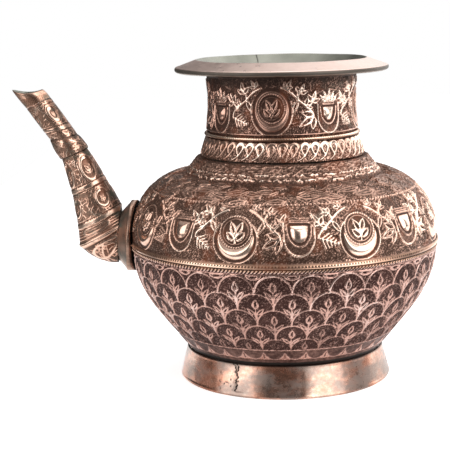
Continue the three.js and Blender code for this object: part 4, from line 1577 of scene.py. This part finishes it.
def rubbed_metal_group():
    """Dark patina in the ground, copper where the mark is high and pale copper where it is highest. The mark
    is rubbed wear, and in places painted highlights, painted reflections and painted light on one side.
    """
    group, given, end = new_group(
        "rubbed_metal",
        {"Place": "Vector", "Rub": "Float", "Uneven": "Float", "Ground": "Color", "Flush": "Color",
         "Copper": "Color", "Pale": "Color"},
        {"Color": "Color", "Bare": "Float"})
    coarse = number(group, "SUBTRACT", noise(group, given["Place"], 45.0, 3.0), 0.5)
    fine = number(group, "SUBTRACT", noise(group, given["Place"], 420.0, 3.0, 0.65), 0.5)
    drift = number(group, "ADD", number(group, "MULTIPLY", coarse, 0.6), number(group, "MULTIPLY", fine, 0.8))
    rub_and_sheen = number(group, "ADD", given["Rub"], number(group, "MULTIPLY", drift, given["Uneven"]))
    bare = ramp(group, rub_and_sheen, 0.12, 0.62)
    flush = ramp(group, noise(group, given["Place"], 80.0), 0.5, 0.68)
    ground = blend(group, number(group, "MULTIPLY", flush, 0.7), given["Ground"], given["Flush"])
    color = blend(group, bare, ground, given["Copper"])
    color = blend(group, ramp(group, rub_and_sheen, 0.62, 1.05), color, given["Pale"])
    return finish_group(group, end, {"Color": color, "Bare": bare})


def stain_group():
    """Patches of tarnish, 1 at their middle"""
    group, given, end = new_group(
        "tarnish_patches", {"Place": "Vector", "Scale": "Float", "Cover": "Float"}, {"Mask": "Float"})
    flat = add_node(group, "Mapping", {"Vector": given["Place"], "Scale": (1, 1, 2.2)}).outputs[0]
    patches = noise(group, flat, given["Scale"], 5.0, 0.6)
    edge = number(group, "SUBTRACT", 0.85, given["Cover"])
    mask = ramp(group, number(group, "SUBTRACT", patches, edge), -0.08, 0.12)
    return finish_group(group, end, {"Mask": mask})


def tool_mark_group():
    """Fine scratches and hammer facets as a height"""
    group, given, end = new_group(
        "tool_marks", {"Place": "Vector", "Facet Scale": "Float", "Scratches": "Float"}, {"Height": "Float"})
    inputs = {"Vector": given["Place"], "Scale": given["Facet Scale"]}
    facets = add_node(group, "TexVoronoi", inputs, feature="SMOOTH_F1").outputs["Distance"]
    stretch = add_node(group, "Mapping", {"Vector": given["Place"], "Scale": (90, 90, 900)}).outputs[0]
    scratches = noise(group, stretch, 1.5, 3.0, 0.7)
    height = number(group, "ADD", facets, number(group, "MULTIPLY", scratches, given["Scratches"]))
    return finish_group(group, end, {"Height": height})


RUBBED_METAL = rubbed_metal_group()
TARNISH = stain_group()
TOOL_MARKS = tool_mark_group()


def place_group(tree, group, **inputs):
    """Puts a group into a material; an underscore in an input stands for a space"""
    node = tree.nodes.new("ShaderNodeGroup")
    node.node_tree = group
    for name, value in inputs.items():
        socket = node.inputs[name.replace("_", " ")]
        if isinstance(value, bpy.types.NodeSocket):
            tree.links.new(value, socket)
        else:
            socket.default_value = value
    return node.outputs


def worn_roughness(tree, where, bare, stains, smoothest, roughest):
    """Smooth where the copper is bare, rougher in its patina and its stains, and a little uneven"""
    rough = add_node(tree, "MapRange", {"Value": bare, "To Min": roughest, "To Max": smoothest}).outputs[0]
    wear = number(tree, "SUBTRACT", noise(tree, where, 240.0, 3.0), 0.45)
    rough = number(tree, "ADD", rough, number(tree, "MULTIPLY", wear, 0.22))
    return number(tree, "ADD", rough, number(tree, "MULTIPLY", stains, 0.12), clamp=True)


def copper_finish(name, ground, copper, pale, uneven=0.5, stain=(0.2, 0.18, 0.14), stain_cover=0.2,
                  stain_scale=40.0, smoothest=0.24, roughest=0.55, marks_depth=0.00012, facets=160.0,
                  flush=(0.24, 0.08, 0.04)):
    """Copper whose patina, rubs, soot and tin, and the light and shade painted into it, follow the marks on
    the mesh
    """
    material = bpy.data.materials.new(name)
    material.use_nodes = True
    tree = material.node_tree
    shader = tree.nodes["Principled BSDF"]
    where = tree.nodes.new("ShaderNodeTexCoord").outputs["Object"]
    marks = {mark: add_node(tree, "Attribute", attribute_name=mark).outputs["Fac"] for mark in MARKS}
    metal = place_group(tree, RUBBED_METAL, Place=where, Rub=marks["rub_and_sheen"], Uneven=uneven,
                        Ground=(*ground, 1), Flush=(*flush, 1), Copper=(*copper, 1), Pale=(*pale, 1))
    stains = place_group(tree, TARNISH, Place=where, Scale=stain_scale, Cover=stain_cover)["Mask"]
    color = blend(tree, number(tree, "MULTIPLY", stains, 0.7), metal["Color"], (*stain, 1))
    tin_shade = blend(tree, noise(tree, where, 60.0, 5.0), TIN_DARK, TIN_PALE)
    color = blend(tree, marks["tin"], color, tin_shade)
    # Soot and the painted shade that the marks carry darken the colour towards near black
    dirt_and_shade_cover = number(tree, "ADD", marks["dirt_and_shade"], number(tree, "MULTIPLY", stains, 0.1), clamp=True)
    color = blend(tree, dirt_and_shade_cover, color, DIRT_AND_SHADE_COLOR)
    bare = number(tree, "MULTIPLY", metal["Bare"], number(tree, "SUBTRACT", 1.0, dirt_and_shade_cover))
    rough = worn_roughness(tree, where, bare, stains, smoothest, roughest)
    metallic = add_node(tree, "MapRange", {"Value": bare, "To Min": 0.75, "To Max": 1.0}).outputs[0]
    marks_height = place_group(tree, TOOL_MARKS, Place=where, Facet_Scale=facets, Scratches=0.35)["Height"]
    bump = add_node(tree, "Bump", {"Strength": 0.5, "Distance": marks_depth, "Height": marks_height})
    for socket, value in (("Base Color", color), ("Roughness", rough), ("Metallic", metallic),
                          ("Normal", bump.outputs[0])):
        tree.links.new(value, shader.inputs[socket])
    return material


def plain_node_finish(name, first, second, roughness, metallic):
    """Procedural finish for small CAD pieces that stay as they are"""
    material = bpy.data.materials.new(name)
    material.use_nodes = True
    tree = material.node_tree
    shader = tree.nodes["Principled BSDF"]
    where = tree.nodes.new("ShaderNodeTexCoord").outputs["Object"]
    color = blend(tree, noise(tree, where, 150.0, 5.0), (*first, 1), (*second, 1))
    height = place_group(tree, TOOL_MARKS, Place=where, Facet_Scale=300.0, Scratches=0.3)["Height"]
    bump = add_node(tree, "Bump", {"Strength": 0.6, "Distance": 0.0002, "Height": height})
    tree.links.new(color, shader.inputs["Base Color"])
    tree.links.new(bump.outputs[0], shader.inputs["Normal"])
    shader.inputs["Roughness"].default_value = roughness
    shader.inputs["Metallic"].default_value = metallic
    return material


def chased_bowl_copper():
    return copper_finish("chased_bowl_copper", ground=(0.05, 0.02, 0.016), copper=(0.52, 0.305, 0.25),
                         pale=(0.7, 0.51, 0.45), uneven=0.55, stain_cover=0.1, flush=(0.09, 0.038, 0.03))


def raised_shoulder_copper():
    return copper_finish("raised_shoulder_copper", ground=(0.09, 0.047, 0.032), copper=(0.6, 0.36, 0.27),
                         pale=(0.95, 0.74, 0.6), stain_cover=0.15, smoothest=0.17)


def raised_neck_copper():
    return copper_finish("raised_neck_copper", ground=(0.075, 0.037, 0.026), copper=(0.58, 0.34, 0.26),
                         pale=(0.95, 0.74, 0.61), smoothest=0.17)


def rubbed_copper():
    return copper_finish("rubbed_copper", ground=(0.07, 0.035, 0.022), copper=(0.6, 0.36, 0.25),
                         pale=(0.95, 0.74, 0.58), uneven=0.3, smoothest=0.18)


def blotched_foot_copper():
    return copper_finish("blotched_foot_copper", ground=(0.25, 0.09, 0.05), copper=(0.58, 0.3, 0.21),
                         pale=(0.82, 0.6, 0.48), uneven=0.8, stain=(0.25, 0.23, 0.21), stain_cover=0.36,
                         stain_scale=35.0, smoothest=0.09, roughest=0.32, marks_depth=0.00015, facets=60.0)


def pale_rim_copper():
    return copper_finish("pale_rim_copper", ground=(0.2, 0.16, 0.12), copper=(0.74, 0.5, 0.41),
                         pale=(0.95, 0.74, 0.66), uneven=0.25, stain=(0.35, 0.3, 0.24), stain_cover=0.15,
                         stain_scale=50.0, smoothest=0.3)


def plain_spout_copper():
    return copper_finish("plain_spout_copper", ground=(0.07, 0.04, 0.026), copper=(0.52, 0.27, 0.18),
                         pale=(0.82, 0.55, 0.42), stain=(0.12, 0.13, 0.1), stain_cover=0.3,
                         stain_scale=90.0, smoothest=0.2)


def engraved_spout_copper():
    return copper_finish("engraved_spout_copper", ground=(0.075, 0.045, 0.03), copper=(0.56, 0.32, 0.23),
                         pale=(0.88, 0.64, 0.5), stain=(0.12, 0.13, 0.1), stain_cover=0.25,
                         stain_scale=90.0, smoothest=0.2)


# Painted shade, partly soot: the solder is made nearly black for the shadowed gap between the bowl and the
# foot
def solder_with_painted_shade():
    return plain_node_finish("solder_with_painted_shade", first=(0.03, 0.027, 0.024), second=(0.13, 0.12, 0.1),
                             roughness=0.7, metallic=0.4)


def hem_wire_copper():
    return plain_node_finish("hem_wire_copper", first=(0.3, 0.15, 0.1), second=(0.6, 0.33, 0.23),
                             roughness=0.4, metallic=1.0)


# Studio


def make_camera():
    """The camera stands where the photograph was taken from"""
    data = bpy.data.cameras.new("camera")
    data.lens = CAMERA_LENS
    data.sensor_width = 36
    camera = bpy.data.objects.new("camera", data)
    bpy.context.scene.collection.objects.link(camera)
    look = (CAMERA_AIM - CAMERA_PLACE).to_track_quat("-Z", "Y").to_matrix().to_4x4()
    turn = Matrix.Rotation(math.radians(-CAMERA_ROLL), 4, "Z")
    camera.matrix_world = Matrix.Translation(CAMERA_PLACE) @ look @ turn
    bpy.context.scene.camera = camera


def make_lamp(name, place, size, watts):
    """Soft panel that faces the pot"""
    data = bpy.data.lights.new(name, "AREA")
    data.shape = "RECTANGLE"
    data.size, data.size_y = size
    data.energy = watts
    lamp = bpy.data.objects.new(name, data)
    bpy.context.scene.collection.objects.link(lamp)
    lamp.location = POT + Vector(place)
    aim = POT + Vector((0, 0, 0.09)) - lamp.location
    lamp.rotation_euler = aim.to_track_quat("-Z", "Y").to_euler()


def seen_directly(tree):
    """1 for the camera, mirrors and glass"""
    path = tree.nodes.new("ShaderNodeLightPath").outputs
    seen = number(tree, "MAXIMUM", path["Is Camera Ray"], path["Is Glossy Ray"])
    return number(tree, "MAXIMUM", seen, path["Is Transmission Ray"])


def grey(light):
    return (light, light, light, 1)


def wall_light(tree, x, y):
    """Brightness of the studio's wall in a direction"""
    around = number(tree, "ARCTAN2", x, number(tree, "MULTIPLY", y, -1.0))
    share = number(tree, "ADD", number(tree, "DIVIDE", around, 2 * math.pi), 0.5)
    wall = tree.nodes.new("ShaderNodeValToRGB")
    tree.links.new(share, wall.inputs[0])
    stops = wall.color_ramp.elements
    while len(stops) < len(STUDIO_WALL):
        stops.new(0.5)
    for stop, (degrees, light) in zip(stops, STUDIO_WALL):
        stop.position = degrees / 360 + 0.5
        stop.color = grey(light)
    return wall.outputs[0]


def make_world():
    """White to the camera, an even light on the pot, and a studio in its mirrors"""
    world = bpy.data.worlds.new("studio")
    bpy.context.scene.world = world
    world.use_nodes = True
    tree = world.node_tree
    tree.nodes.clear()
    direction = tree.nodes.new("ShaderNodeTexCoord").outputs["Generated"]
    x, y, z = add_node(tree, "SeparateXYZ", {0: direction}).outputs
    mirror = blend(tree, ramp(tree, z, 0.5, 0.85), wall_light(tree, x, y), grey(STUDIO_CEILING))
    mirror = blend(tree, ramp(tree, z, -0.3, -0.08), grey(STUDIO_DEPTH), mirror)
    room = tree.nodes.new("ShaderNodeLightPath").outputs
    shade = blend(tree, room["Is Glossy Ray"], grey(ROOM_LIGHT), mirror)
    clear = number(tree, "MAXIMUM", room["Is Camera Ray"], room["Is Transmission Ray"])
    color = blend(tree, clear, shade, grey(1))
    light = add_node(tree, "Background", {"Color": color, "Strength": 1.0})
    out = tree.nodes.new("ShaderNodeOutputWorld")
    tree.links.new(light.outputs[0], out.inputs["Surface"])


def make_floor():
    """Pale floor that glows only to the camera, mirrors and glass, and keeps the pot's shadow"""
    mesh = bpy.data.meshes.new("floor")
    left, right, near, far = FLOOR_EDGES
    corners = [(left, near, 0), (right, near, 0), (right, far, 0), (left, far, 0)]
    mesh.from_pydata(corners, [], [(0, 1, 2, 3)])
    floor = bpy.data.objects.new("floor", mesh)
    bpy.context.scene.collection.objects.link(floor)
    material = bpy.data.materials.new("white_floor")
    material.use_nodes = True
    tree = material.node_tree
    shader = tree.nodes["Principled BSDF"]
    shader.inputs["Base Color"].default_value = grey(FLOOR_GREY)
    shader.inputs["Roughness"].default_value = 0.9
    shader.inputs["Specular IOR Level"].default_value = 0
    shader.inputs["Emission Color"].default_value = grey(1)
    glow = number(tree, "MULTIPLY", seen_directly(tree), FLOOR_GLOW)
    tree.links.new(glow, shader.inputs["Emission Strength"])
    mesh.materials.append(material)


make_camera()
make_world()
make_floor()
for name, lamp in LAMPS.items():
    make_lamp(name, *lamp)
bpy.context.scene.view_settings.view_transform = "Standard"

bowl_finish = chased_bowl_copper()
shoulder_finish = raised_shoulder_copper()
neck_finish = raised_neck_copper()
bright_finish = rubbed_copper()
foot_finish = blotched_foot_copper()
rim_finish = pale_rim_copper()
spout_finish = plain_spout_copper()
engraved_finish = engraved_spout_copper()
solder_finish = solder_with_painted_shade()
wire_finish = hem_wire_copper()

make_bowl(bowl_finish)
make_shoulder(shoulder_finish)
make_belly_band(bright_finish)
make_collar(shoulder_finish)
make_bead(bright_finish)
make_neck(neck_finish)
make_rim(rim_finish)
make_foot(foot_finish)
make_plate(engraved_finish)
make_elbow(engraved_finish)
make_lower_tube(engraved_finish)
make_spout_collar(engraved_finish)
make_upper_tube(engraved_finish)
make_beak(spout_finish)
for node, finish in (("foot_solder", solder_finish), ("rim_wire", wire_finish)):
    nodes[node].data.materials.clear()
    nodes[node].data.materials.append(finish)
